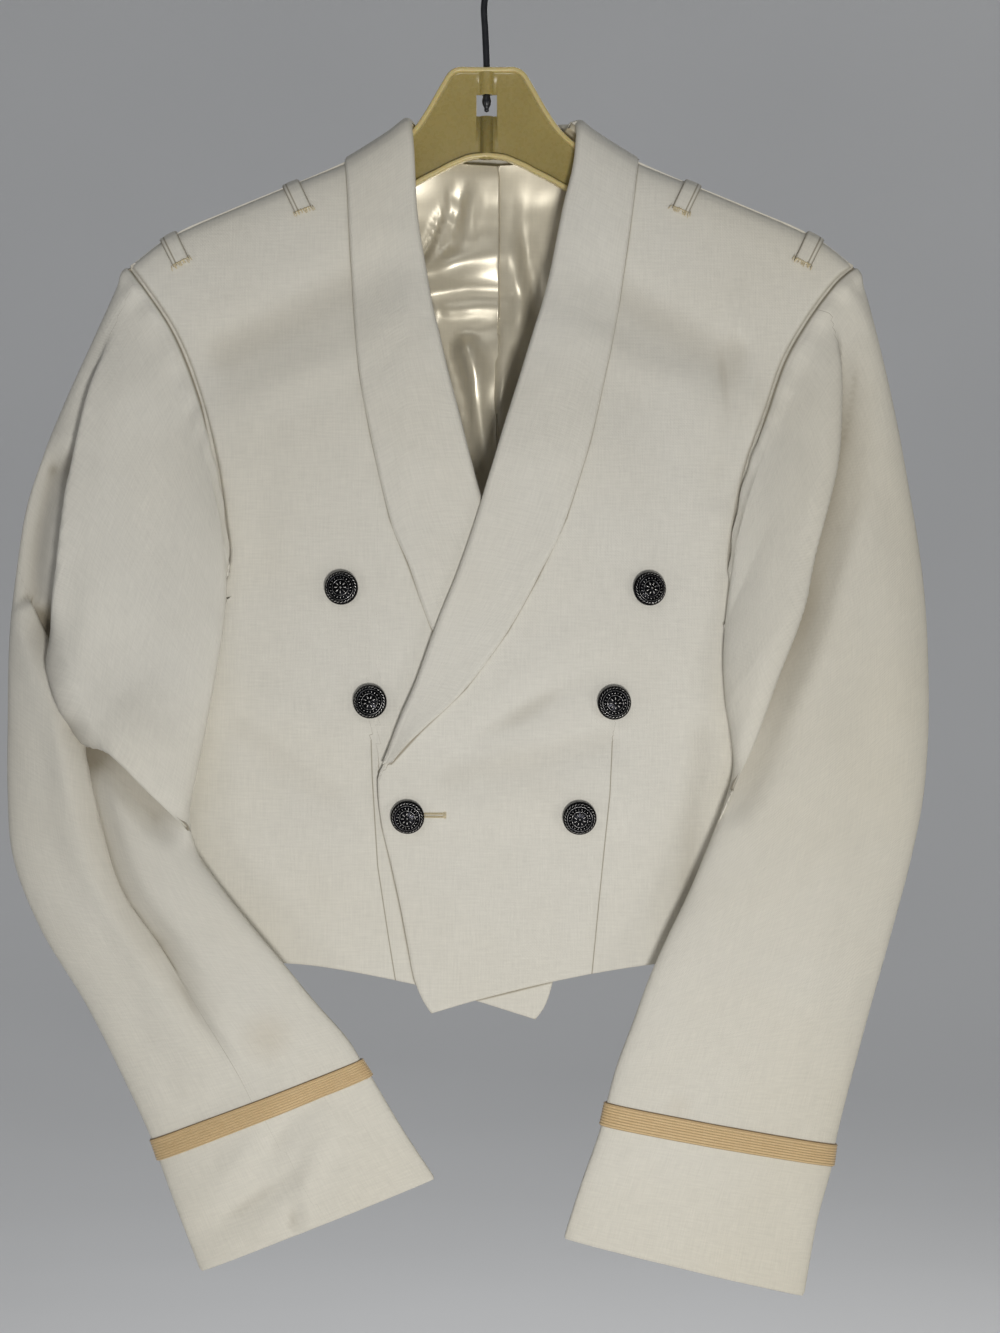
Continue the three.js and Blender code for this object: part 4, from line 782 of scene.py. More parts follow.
# The lining of the back: ivory satin with a pleat down its centre for ease. It's felled to the neck and
# hem, hangs slack between them, and shows in the neck with its folds shining.
SATIN_IVORY = (0.74, 0.675, 0.525)
SATIN_THREADS = 4200
LINING = 1.0
LINING_STEP = 2.75
PLEAT = [(2.4, -138), (2.0, -300), (1.6, -440), (1, -590)]
PLEAT_LAP = {"rise": 2.4, "reach": 40, "run": 4.5, "tuck": 2.1, "ends": (0.03, 0.1)}
LINING_WAVES = [  # x, z, half the length, turn, width, height
    (-26, -172, 26, 54, 2.6, 3.0),
    (-20, -164, 22, 58, 2.2, -2.6),
    (-33, -180, 24, 48, 2.6, -2.6),
    (-12, -168, 20, 66, 2.4, 2.4),
    (-24, -198, 30, 6, 8, 5.0),
    (-18, -214, 30, -10, 5, -4.0),
    (-24, -236, 28, 4, 8, -4.5),
    (-13, -250, 20, 86, 5.5, 5.5),
    (-20, -262, 40, 100, 3.5, -3.5),
    (-8, -290, 34, 86, 3.2, 3.6),
    (-15, -300, 34, 100, 3, -3.0),
    (14, -200, 44, 88, 5, 2.6),
    (24, -210, 44, 96, 6, -2.8),
    (8, -262, 34, 74, 4, 3.0),
    (24, -300, 40, 88, 6, -2.0),
    (10, -330, 40, 92, 5, 2.0),
    (-12, -345, 40, 96, 5, -2.2),
]


def satin_material():
    material, tree, shader = new_material("ivory satin")
    _, height, slub = woven(tree, SATIN_THREADS)
    shade = spread(tree, slub, 0.3, 0.7, 0.96, 1.03)
    set_inputs(tree, shader, {
        "Base Color": vector_sum(tree, "SCALE", SATIN_IVORY, Scale=shade),
        "Normal": bumped(tree, height, 0.12, 0.0001),
        "Roughness": 0.33,
        "Metallic": 0.3,
        "Specular IOR Level": 0.9,
        "Sheen Weight": 0.15,
    })
    return material


def fold_over(x, z, path, raised, rise, reach, run, tuck, ends=(0.0, 0.0)):
    """Cloth that laps over itself along a path: its height, and how far it slides across the path."""
    distance, side, along, away = near_path(path, x, z)
    into = distance * side * raised
    fade = np.ones_like(along)
    if ends[0]:
        fade = fade * smooth(along, 0, ends[0])
    if ends[1]:
        fade = fade * (1 - smooth(along, 1 - ends[1], 1))
    height = rise * smooth(into, -run / 2, run / 2) * (1 - smooth(into, 0, reach)) * fade
    slide = -tuck * into * np.exp(-((into / run) ** 2)) * fade
    return height, away * (slide * side * raised)[..., None]


def lining_grid():
    """The insides of both backs joined into one piece, which stops short of their edges."""
    right, left = (moved_out(back_grid(side, LINING_STEP), -(SEAT + SEAM_GAP), -1) for side in (-1, 1))
    return np.concatenate([right[:, 5:-1], left[:, 1:-5]], 1)[1:-4]


grid = lining_grid()
x, z = grid[..., 0], grid[..., 2]
hang = smooth(z, -600, -560) * smooth(-z, 148, 164)
uneven = 0.8 * soft_noise(x, z, 26, 12) + 0.35 * soft_noise(x, z, 9, 13)
relief = (1.35 * waves_at(LINING_WAVES, x, z) + uneven) * hang
beside_neck = smooth(np.abs(x), 40, 52)
clear = np.maximum(smooth(below(x, z), 2, 14), 1 - beside_neck)
pleat_height, pleat_slide = fold_over(x, z, PLEAT, -1, **PLEAT_LAP)
grid[..., 0] += pleat_slide[..., 0]
grid[..., 1] -= (np.maximum(relief, -2.2) + pleat_height + 0.8) * clear
grid[..., 2] += 5 * (1 - smooth(-z, 144, 165)) * (1 - smooth(np.abs(x), 30, 44))
grid[..., 2] -= 5 * (1 - smooth(below(x, z), 0, 14)) * beside_neck
grid[..., 1] = np.where(beside_neck > 0, np.maximum(grid[..., 1], 0.4), grid[..., 1])
cloth_object(
    "lining_back_cloth", grid, -1, LINING - 0.3, satin_material(), ["lining_back"],
    (0.4, 0.47), 0.16, laid=True,
)

# The shawl collar: one strip of drill for each side, seamed at the centre back, turned over along its roll
# and pressed down on the chest. Its facing goes on round the roll and inside the front.
FALL = {  # where the collar turns and ends behind the neck, and how many rows shape it
    "roll_x": 46.5, "roll_z": -118.2, "roll_back": 21.5, "rows": 5,
    "edge_x": 83, "edge_low": -160.5, "edge_high": -141,
}
LAPEL = {
    "ease": 0.7, "puff": 1.3, "puff_z": (-345, -300), "roll": 3.3, "facing": 14, "width": 60, "columns": 34,
}
SHAWL_STEPS = (36, 60, 150)  # behind the neck, over the shoulder, down the chest
SHAWL_TURNS = {"last": (1.3, 0.9), "top": (0.7, 1.2), "bottom": (0.4, 0.8)}


def signed_root(drop):
    return np.sign(drop) * np.sqrt(np.abs(drop))


def shawl_rows(side, front_rows):
    """Rows of roll x and drop, edge x and drop, and how far the roll stands back."""
    rows = []
    for i in range(FALL["rows"]):
        turn = i / FALL["rows"] * math.pi / 2
        roll, edge = side * FALL["roll_x"] * math.sin(turn), side * FALL["edge_x"] * math.sin(turn)
        edge_z = FALL["edge_high"] + (FALL["edge_low"] - FALL["edge_high"]) * math.cos(turn)
        stand = max(FALL["roll_back"] * math.cos(turn) - float(back_depth(roll, FALL["roll_z"])), 0)
        rows.append((roll, -float(below(roll, FALL["roll_z"])), edge, -float(below(edge, edge_z)), stand))
    rows[0] = (side * SEAM_GAP / 2, rows[0][1], side * SEAM_GAP / 2, rows[0][3], rows[0][4])
    for roll_x, roll_z, edge_x, edge_z in front_rows:
        rows.append((roll_x, float(below(roll_x, roll_z)) + 0.6, edge_x, float(below(edge_x, edge_z)), 0))
    return np.array(rows)


def shawl_grid(side, front_rows, lift):
    rows = shawl_rows(side, front_rows)
    last = len(rows) - 1
    stops = (0, FALL["rows"] - 1, FALL["rows"] + 1, last)
    stretches = [np.linspace(a, b, n, False) for a, b, n in zip(stops, stops[1:], SHAWL_STEPS[:2])]
    sections = np.concatenate(stretches + [np.linspace(*stops[2:], SHAWL_STEPS[2])]) / last
    roll = smooth_line(np.stack([rows[:, 0], signed_root(rows[:, 1]), rows[:, 4]], 1))(sections)
    edge = smooth_line(np.stack([rows[:, 2], signed_root(rows[:, 3]), rows[:, 4]], 1))(sections)
    width = np.hypot(edge[:, 0] - roll[:, 0], np.abs(edge[:, 1]) ** 2 - np.abs(roll[:, 1]) ** 2)
    radius = np.minimum(LAPEL["roll"], width * 0.3)
    start = np.clip((radius - 0.4) / np.maximum(width, 1), 0, 0.4)
    shares = shares_across(LAPEL["width"], LAPEL["width"] / LAPEL["columns"])
    across = start[:, None] + (1 - start[:, None]) * shares[None]
    x = roll[:, :1] * (1 - across) + edge[:, :1] * across
    root = roll[:, 1:2] * (1 - across) + edge[:, 1:2] * across
    drop = root * np.abs(root)
    z = shoulder_z(x) - np.abs(drop)
    stand = roll[:, 2:]
    behind = back_depth(x, z) + SEAM_GAP / 2 + stand * (1 - across) ** 1.2
    puff = LAPEL["puff"] * smooth(z, *LAPEL["puff_z"]) * np.sin(across * math.pi)
    ahead = -front_depth(x, z) - lift(x, z) - puff - SEAM_GAP / 2 + stand * (1 - across)
    grid = np.stack([x, np.where(drop < 0, behind, ahead), z], -1)
    uneven = 0.3 * soft_noise(x, z, 26, 21) + 0.12 * soft_noise(x, z, 10, 22)
    relief = uneven + 0.8 * waves_at(SOFT_WAVES, x, z) * (drop > 0)
    grid = moved_out(grid, SEAT + LAPEL["ease"] + relief * smooth(np.abs(drop), 4, 30), side)
    normal = normals_of(grid, side)
    grid = edged(grid, side, **SHAWL_TURNS)
    inward = grid[:, 1] - grid[:, 0]
    toward = -inward / np.linalg.norm(inward, axis=1)[:, None]
    out = normal[:, 0]
    round_r = radius[:, None]
    turned = []
    for angle in np.linspace(math.pi, 0, 11)[:-1]:
        way = out * math.cos(angle) + toward * math.sin(angle)
        turned.append(grid[:, 0] - out * round_r + way * round_r)
    facing = np.minimum(LAPEL["facing"], width * 0.5)[:, None]
    base = grid[:, 0] - out * round_r * 2
    inner = [base - toward * facing * share for share in np.linspace(1, 0, 7)[:-1]]
    return np.concatenate([np.stack(inner + turned, 1), grid], 1)


SHAWLS = [("left", 1, SHAWL_LEFT, over_lift), ("right", -1, SHAWL_RIGHT, lambda x, z: 0)]
for name, side, rows, lift in SHAWLS:
    grid = shawl_grid(side, rows, lift)
    cloth_object(
        f"shawl_{name}_cloth", grid, side, CLOTH - 0.4, drill, [f"shawl_{name}"],
        (0.09, 0.5), 0.030,
    )

# The stand of the collar: a strip of drill that rises from the neck seam inside the fall. It's sewn to both
# backs and to the shawl.
STAND = [  # distance from the centre back, y and z of the upper edge, y and z of the lower edge
    (0, 20.0, -119.6, 15.4, -145.3),
    (12, 19.5, -119.6, 15.3, -144.3),
    (22, 17.2, -119.8, 14.8, -141.9),
    (31, 13.2, -120, 13.4, -136),
    (36.5, 9.8, -120.2, 10.6, -127),
    (40, 7.2, -120.4, 7.6, -122.6),
]


def stand_grid():
    rows = [(-x, *rest) for x, *rest in STAND[:0:-1]] + STAND
    line = smooth_line(rows)(np.linspace(0, 1, 61))
    down = np.linspace(0, 1, 12)[None, :, None]
    upper, lower = line[:, None, [0, 1, 2]], line[:, None, [0, 3, 4]]
    return edged(upper + (lower - upper) * down, -1, last=(0.4, 1.2))


cloth_object(
    "collar_stand_cloth", stand_grid(), -1, CLOTH - 0.2, drill, ["collar_stand"],
    (0.1, 0.026), 0.0018,
)

# The sleeves: each is cut as a top sleeve and an under sleeve and set in at the armhole. They hang with the
# upper arm's cloth lying over the lower arm's as a fold, and the right forearm has deep creases.
ARMHOLE_GAP = 1.7
ARMPIT_TURN = 0.72  # how far round the sleeve, from its outer edge over its front, the armpit is
SEAM_TURN = 0.0012
FLATNESS = 0.8
CLEARANCE = {"ahead": 3.4, "aside": 4, "edge_turn": 0.06}
TUCKS = [(-4.5, 4.6), (-2.0, 4.0), (0.6, 2.8)]  # gap from the seam and depth of each row turned inside it
TUCKED_IN = (-6, -4, -2)  # how far inside the seam those rows are
SLEEVE_TURNS = {"first": (0.5, 1.2), "last": (0.5, 1.2), "bottom": (0.8, 1.0)}
CREASE_SHADE_AND_GRIME = 0.035  # the painted shade and grime that a crease gets for each millimetre of its depth
FOLD_SHADOW_TAPER = {"start": 0.2, "thin": 0.6, "fade": 8}  # how the painted shadow line along a lapped fold fades in
BLEND = [(0, 0), (1, 0.3), (2, 0.65), (3, 0.9), (4, 1)]  # row, share of the way from the armhole's shape
SLEEVE_RIGHT = [  # outer x and z, inner x and z, outer y, inner y, bulge to the front, bulge to the back
    (-216, -211, -146.5, -385.5, 1, -29, 15, 19),
    (-226.5, -237, -148.5, -402.5, 2, -30, 15, 17),
    (-243.5, -275.5, -151.5, -419, 3, -31, 14, 16),
    (-254.5, -303, -156, -442, 3, -32, 14, 15),
    (-265.5, -336, -160, -464.5, 3, -33, 15, 14),
    (-271.5, -374, -164.5, -487, 2, -34, 15, 14),
    (-275, -413, -168.5, -511.5, 0, -36, 15, 13),
    (-275.5, -459, -164.5, -531, -3, -38, 15, 13),
    (-275, -498.5, -153, -548, -7, -42, 14, 13),
    (-271.5, -535.5, -135.5, -569.5, -11, -46, 14, 12),
    (-255.5, -575.5, -117.5, -590.5, -16, -48, 14, 12),
    (-228, -619.5, -98, -614, -22, -49, 14, 12),
    (-204, -665.5, -79.5, -635, -27, -49, 13, 12),
    (-191, -693, -72.5, -646, -30, -49, 12, 11),
    (-186.5, -705, -66.5, -655.5, -31, -49, 12, 11),
    (-177.5, -729.5, -49.5, -684, -33, -49, 10, 10),
    (-163, -766.5, -31, -712, -35, -49, 9, 9),
]
SLEEVE_LEFT = [
    (217, -219, 130.5, -394.5, 1, -32, 14, 19),
    (221, -237, 129, -411.5, 2, -33, 14, 17),
    (227.5, -267.5, 128.5, -430, 3, -34, 14, 16),
    (233, -297, 130.5, -449.5, 3, -35, 14, 15),
    (238.5, -328, 133.5, -468, 3, -36, 14, 14),
    (243.5, -359, 134.5, -486, 2, -37, 15, 14),
    (247, -390, 129.5, -505.5, 1, -38, 15, 13),
    (248.5, -427, 119.5, -530.5, -2, -41, 15, 13),
    (248, -467, 108.5, -556, -6, -44, 14, 13),
    (244.5, -503.5, 97.5, -578, -10, -47, 14, 12),
    (237, -538, 87.5, -600, -14, -49, 14, 12),
    (225.5, -578.5, 78, -625.5, -19, -50, 14, 12),
    (208, -639, 69, -649.5, -24, -50, 13, 12),
    (193, -696, 63.5, -669.5, -28, -50, 12, 11),
    (191, -708.5, 60.5, -682.5, -29, -50, 12, 11),
    (183, -737.5, 48.5, -717, -31, -50, 10, 10),
    (175, -780.5, 39.5, -745, -33, -50, 9, 9),
]
LEDGE_RIGHT = [
    (-222.5, -239), (-233, -274.5), (-238, -327.5), (-243, -377), (-246, -418), (-240, -440),
    (-233, -455.5), (-225.5, -470.5), (-213.5, -473.5), (-189, -497), (-167.5, -520.5),
]
LEDGE_LEFT = [
    (210, -229), (207, -270.5), (202, -297), (196, -321.5), (180, -367), (170.5, -400.5), (157.5, -434),
    (144, -473.5), (134, -497),
]
FOREARM_CREASE = [
    (-263.5, -388.5), (-253.5, -412.5), (-241, -436), (-233, -465.5), (-220, -518.5), (-207.5, -554),
    (-184, -585.5), (-162, -620.5), (-143.5, -651),
]
CREASES_RIGHT = [  # width, deep, path
    (9, 11, FOREARM_CREASE),
    (8, 8, [(-236, -451.5), (-218, -481), (-192.5, -506.5), (-173, -528.5)]),
    (9, 12, [(-246, -300), (-254, -330), (-260, -360), (-260, -388), (-250, -412), (-243, -436)]),
    (8, 2.5, [(-210.5, -235.5), (-196.5, -265)]),
]
CREASES_LEFT = [
    (10, 8.5, [(214, -240), (206.5, -300), (188, -370), (163, -440), (138.5, -499), (130, -520)]),
    (11, 4.5, [(175, -292.5), (169, -341.5), (157.5, -392.5)]),
    (8, 3, [(202.5, -247), (183, -255)]),
]
LAPS_RIGHT = [  # path, raised side, rise, reach, run, tuck, how the two ends fade
    (LEDGE_RIGHT, 1, 11.5, 60, 4.5, 2.9, (0.12, 0.0)),
    (FOREARM_CREASE, -1, 7, 30, 4.5, 2.6, (0.03, 0.5)),
]
LAPS_LEFT = [(LEDGE_LEFT, -1, 11, 60, 4.0, 3.0, (0.12, 0.0))]
WAVES_RIGHT = [  # x, z, half the length, turn, width, height
    (-196, -258, 26, 62, 6, 1.4),
    (-206, -252, 22, 58, 5, -1.2),
    (-172, -300, 30, 10, 7, -1.0),
    (-214, -330, 52, 74, 12, -1.4),
    (-198, -390, 60, -62, 14, 1.4),
    (-230, -420, 40, 70, 9, 1.6),
    (-200, -462, 44, -40, 12, 1.8),
    (-250, -450, 52, 86, 8, -1.6),
    (-246, -520, 60, -74, 8, 1.4),
    (-225, -560, 56, -64, 8, -1.6),
    (-172, -600, 44, -58, 6, 3.2),
    (-152, -628, 26, -62, 5, 2.0),
    (-150, -560, 60, -42, 10, 1.6),
    (-190, -640, 44, -66, 9, -1.2),
    (-120, -610, 44, -40, 9, -1.4),
    (-160, -676, 40, 28, 8, -1.2),
    (-118, -690, 34, 42, 8, -3.2),
    (-100, -706, 30, 50, 7, 2.8),
    (-140, -706, 34, 30, 9, 2.4),
    (-128, -722, 40, 26, 7, -2.2),
    (-150, -738, 40, 22, 9, -1.6),
    (-111, -734, 14, 60, 5, -1.5),
    (-102, -731, 14, 70, 5, 1.3),
    (-88, -668, 26, -54, 6, -1.6),
    (-70, -694, 24, -50, 6, 1.4),
]
WAVES_LEFT = [
    (190, -229, 20, -22, 8, 3.0),
    (186, -248, 24, -6, 5, -3.6),
    (196, -242, 26, 60, 5, 1.8),
    (172, -300, 44, -66, 9, -1.4),
    (171, -362, 40, 72, 8, -3.0),
    (158, -340, 60, 76, 10, 2.0),
    (176, -400, 60, 66, 9, -1.6),
    (148, -430, 40, 72, 8, 1.2),
    (222, -330, 60, -78, 10, -1.2),
    (232, -440, 70, 88, 12, 1.4),
    (206, -480, 64, 80, 12, -1.2),
    (190, -560, 80, 70, 12, 1.2),
    (150, -560, 70, 66, 10, -1.0),
    (214, -600, 60, 74, 9, -1.4),
    (170, -640, 60, 70, 11, 1.0),
    (120, -620, 50, 62, 9, -0.9),
    (120, -700, 44, 70, 10, 0.9),
    (160, -730, 40, 76, 10, -0.8),
]
SLEEVE_LENGTH = 590
SLEEVE_HALF = 150  # across one part, between its seams


def clear_of_body(x, z, room):
    """How far in front of the middle a sleeve lies on the front below the armpit, and nothing beside it."""
    share = np.minimum(np.abs(x) / (body_half(z) + CLEARANCE["aside"]), 1)
    round_share = (1 - share**ROUNDNESS) ** (1 / ROUNDNESS)
    surface = np.maximum(front_depth(x, z), front_drop(below(x, z)) * round_share)
    return np.where(round_share > 0, surface + room * np.minimum(round_share * 3, 1), 0)


def armhole_lines(side, armhole, gap=ARMHOLE_GAP):
    """The front, underarm and back stretches of the seam that a sleeve is sewn into."""
    corner = armhole[-1]
    armpit = (side * float(body_half(ARMPIT_Z)), ARMPIT_Z)
    beside = lambda p: (p[0] + side * gap, p[1])
    above = lambda p: (p[0], p[1] + gap + CLOTH)
    under = below_corner(corner, armpit)
    join, low = above(beside(corner)), above(beside(armpit))
    behind = [beside((side * x, z)) for x, z in ARMHOLE_BACK[::-1]]

    def sewn(rows, surface):
        places = even_line(rows, np.linspace(0, 1, 17))
        return surface(places[:, 0], places[:, 1])

    return (
        sewn([beside(p) for p in armhole[:-1]] + [join], on_right_front),
        sewn([join] + [above(p) for p in under] + [low], on_right_front),
        sewn([low] + behind, on_back),
    )


def sleeve_relief(laps, creases, waves, x, z):
    """A sleeve's front: its height, how cloth slides across its lapped folds, a painted shadow
    line along each, and painted shade and grime in its creases.
    """
    height, slide = np.zeros(x.shape), np.zeros(x.shape + (2,))
    fold_shadow_lines, shade_and_grime = [], np.zeros(x.shape)
    main_path, raised = laps[0][:2]
    distance, side, _, _ = near_path(main_path, x, z)
    over = smooth(distance * side * raised, 0, 9)
    for width, deep, path in creases:
        apart, _, along, _ = near_path(smooth_line(path)(np.linspace(0, 1, 24)), x, z)
        ends = smooth(along, 0, 0.12) * (1 - smooth(along, 0.72, 1))
        hollow = deep * np.exp(-((apart / width) ** 2)) * ends * (1 - over)
        height -= hollow
        shade_and_grime += CREASE_SHADE_AND_GRIME * hollow
    for path, up, rise, reach, run, tuck, ends in laps:
        fine = smooth_line(path)(np.linspace(0, 1, 48))
        lapped, slid = fold_over(x, z, fine, up, rise, reach, run, tuck, ends)
        height += lapped
        slide += slid
        distance, side, along, _ = near_path(fine, x, z)
        sharp = smooth(along, 0, FOLD_SHADOW_TAPER["start"])
        if ends[1]:
            sharp = sharp * (1 - smooth(along, 1 - ends[1], 1))
        # A painted shadow line along each lapped fold's edge, thin near it and fading in from the fold's
        # start.
        fold_shadow_lines.append(side * (FOLD_SHADOW_TAPER["thin"] * distance + FOLD_SHADOW_TAPER["fade"] * (1 - sharp)))
    height += waves_at(waves, x, z) + 0.4 * soft_noise(x, z, 30, 31) + 0.15 * soft_noise(x, z, 12, 32)
    return height, slide, fold_shadow_lines, shade_and_grime


blend_share = column(BLEND)
SEAM_STEPS = 399


def sleeve_grid(side, rows, armhole, laps, creases, waves, share, turn):
    """A sleeve's points: share runs from armhole to cuff, and turn from the outer edge over the front."""
    count = len(rows)
    down = np.clip((share - 1 / count) / (1 - 1 / count), 0, 1)
    table = np.array(rows, float)
    outer = smooth_line(table[:, [0, 4, 1]])(down)[:, None]
    inner = smooth_line(table[:, [2, 5, 3]])(down)[:, None]
    bulge = smooth_line(table[:, [6, 7]])(down)[:, None]
    angle = (turn * 2 * math.pi)[None]
    sine = np.sin(angle) + np.zeros((len(share), 1))
    grid = outer + (inner - outer) * ((1 - np.cos(angle)) / 2)[..., None]
    swell = np.sign(sine) * np.abs(sine) ** FLATNESS
    grid[..., 1] -= np.where(swell > 0, swell * bulge[..., 0], swell * bulge[..., 1])
    height, slide, fold_shadow_lines, shade_and_grime = sleeve_relief(laps, creases, waves, grid[..., 0], grid[..., 2])
    front = np.maximum(sine, 0) ** 0.7
    grid[..., 1] -= height * front
    grid[..., 0] += slide[..., 0] * front
    grid[..., 2] += slide[..., 1] * front
    x, z = grid[..., 0], grid[..., 2]
    grid[..., 1] += np.maximum(-sine, 0) * (1.6 * soft_noise(x, z, 46, 35) + 0.5 * soft_noise(x, z, 18, 36))
    ahead = -clear_of_body(x, z, CLEARANCE["ahead"])
    off_edge = smooth(np.minimum(turn, 1 - turn), 0, CLEARANCE["edge_turn"])[None]
    grid[..., 1] += np.where(ahead < 0, np.minimum(ahead - grid[..., 1], 0), 0) * off_edge
    fold_shadow_lines = [np.where(sine > 0.05, line, NO_SEAM) for line in fold_shadow_lines]
    return blended_to_armhole(grid, side, armhole, share * count, turn, sine), fold_shadow_lines, shade_and_grime * front


def armhole_start(side, armhole, turn, gap=ARMHOLE_GAP):
    """Where a sleeve is sewn to the body at each turn, or a line beside that seam at another gap."""
    stretches = [
        even_line(smooth_line(rows)(np.linspace(0, 1, 60)), np.linspace(0, 1, SEAM_STEPS + 1))
        for rows in armhole_lines(side, armhole, gap)
    ]
    starts = (0, 0.5, ARMPIT_TURN, 1)
    places = []
    for stretch, start, end in zip(stretches, starts, starts[1:]):
        step = np.round((turn - start) / (end - start) * SEAM_STEPS).astype(int)
        places.append(stretch[np.clip(step, 0, SEAM_STEPS)])
    front, under, back = places
    beyond = np.where((turn <= ARMPIT_TURN)[:, None], under, back)
    return np.where((turn <= 0.5)[:, None], front, beyond)


def blended_to_armhole(grid, side, armhole, rows_in, turn, sine):
    """The head of a sleeve, which takes the armhole's shape over its first rows."""
    last_row = BLEND[-1][0]
    start = armhole_start(side, armhole, turn)[None]
    near = rows_in < last_row
    blend = blend_share(np.minimum(rows_in, last_row))[:, None]
    mixed = start + (grid - start) * blend[..., None]
    mixed[..., 1] = start[..., 1] + (grid[..., 1] - start[..., 1]) * blend**1.8
    room = CLEARANCE["ahead"] * (1 + 3 * np.maximum(sine, 0) ** 0.6) * np.minimum(blend / BLEND[1][1], 1)
    kept = np.minimum(mixed[..., 1], -clear_of_body(mixed[..., 0], mixed[..., 2], room))
    over_body = smooth(turn, 0.24, 0.44) * (turn <= ARMPIT_TURN)
    mixed[..., 1] += (kept - mixed[..., 1]) * over_body
    return np.where(near[:, None, None], mixed, grid)


def set_in(grid, hand, side, armhole, turn):
    """Makes a sleeve rise out of the armhole seam with small puckers, and turns its edge inside."""
    down, around = lengths_along(grid, 0), lengths_along(grid[:1], 1)
    pucker = np.sin(around / 2.9 + 1.6 * np.sin(around / 17)) * np.exp(-((down - 6) / 8) ** 2) * 0.5
    rise = 1.9 * np.exp(-((down - 5) / 5) ** 2) - 2.4 * np.exp(-((down / 0.9) ** 2))
    shaped = moved_out(grid, rise + pucker, hand)
    tucked = []
    for gap, inset in TUCKS:
        row = armhole_start(side, armhole, turn, gap)
        deep = np.abs(row[:, 1])
        row[:, 1] -= np.sign(row[:, 1]) * inset * deep / (deep + 4)
        tucked.append(row)
    inside = np.array(TUCKED_IN)[:, None] + np.zeros(grid.shape[1])
    # With the rows it gives each row's distance below the armhole seam, for the painted shadow line along
    # that seam.
    return np.concatenate([np.stack(tucked), shaped], 0), np.concatenate([inside, down - 0.2], 0)


def with_tucked_rows(values, filler):
    return np.concatenate([np.full((len(TUCKS), values.shape[1]), filler), values], 0)


SLEEVES = [
    ("left", 1, SLEEVE_LEFT, ARMHOLE_LEFT, LAPS_LEFT, CREASES_LEFT, WAVES_LEFT),
    ("right", -1, SLEEVE_RIGHT, ARMHOLE_RIGHT, LAPS_RIGHT, CREASES_RIGHT, WAVES_RIGHT),
]
SLEEVE_PARTS = [  # name, turn at its first seam, steps down and across, flat size, area, lines that show
    ("top", 0, 2.1, 1.75, (0.2, 0.6), 0.085, 3),
    ("under", 0.5, 3.2, 3.0, (0.19, 0.6), 0.078, 1),
]
for name, side, rows, armhole, laps, creases, waves in SLEEVES:
    for part, first_turn, step_down, step_across, flat, area, shown in SLEEVE_PARTS:
        share = shares_across(SLEEVE_LENGTH, step_down)
        across = shares_across(SLEEVE_HALF, step_across, (0.3, 0.9))
        turn = first_turn + SEAM_TURN + (0.5 - 2 * SEAM_TURN) * across
        grid, fold_shadow_lines, shade_and_grime = sleeve_grid(side, rows, armhole, laps, creases, waves, share, turn)
        grid, seam = set_in(grid, -side, side, armhole, turn)
        seam_and_shadow_lines = [seam] + [with_tucked_rows(line, NO_SEAM) for line in fold_shadow_lines]
        grid = edged(grid, -side, **SLEEVE_TURNS)
        cloth_object(
            f"sleeve_{name}_{part}_cloth", grid, -side, CLOTH - 0.8, drill,
            [f"sleeve_{name}_{part}"], flat, area, seam_and_shadow_lines=seam_and_shadow_lines[:shown], shade_and_grime=with_tucked_rows(shade_and_grime, 0.0),
        )

# The braid: a tan and gold tape, woven half an inch wide with ribs along it. It's sewn flat round each
# sleeve, three inches above the cuff's edge.
BRAID_ROWS = (13, 14)  # the rows of the sleeve's table that its two edges follow
BRAID_RIBS = 8
BRAID_WIDTH = 12.8
BRAID_THREADS = 1500
BRAID_TAN = (0.64, 0.43, 0.20, 1)
BRAID_PALE = (0.80, 0.62, 0.36, 1)
BRAID_GROOVE_SHADE = (0.27, 0.16, 0.06, 1)
BRAID_SHAPE = {"above": 1.0, "rib": 0.16, "end": 0.5, "end_share": 0.03, "thick": 0.6}


def braid_material():
    material, tree, shader = new_material("tan and gold braid")
    place, height, slub = woven(tree, BRAID_THREADS)
    down = add_node(tree, "ShaderNodeSeparateXYZ", {0: place}).outputs["Y"]
    ribs = sum_of(tree, "MULTIPLY", down, 2 * math.pi * BRAID_RIBS / (BRAID_WIDTH * MM))
    # Painted shade: the grooves between the ribs are darkened towards the dark brown, and the same dark
    # runs along the tape's upper edge.
    groove_shade = spread(tree, sum_of(tree, "COSINE", ribs), 0.1, 1.0)
    edge = spread(tree, down, 0.0013, 0.0003)
    dark, darker = sum_of(tree, "MULTIPLY", groove_shade, 0.62), sum_of(tree, "MULTIPLY", edge, 0.95)
    shade = sum_of(tree, "MAXIMUM", dark, darker)
    tan = mixed_colours(tree, slub, BRAID_TAN, BRAID_PALE)
    set_inputs(tree, shader, {
        "Base Color": mixed_colours(tree, shade, tan, BRAID_GROOVE_SHADE),
        "Normal": bumped(tree, height, 0.6, 0.0004),
        "Roughness": 0.55,
        "Sheen Weight": 0.2,
    })
    return material


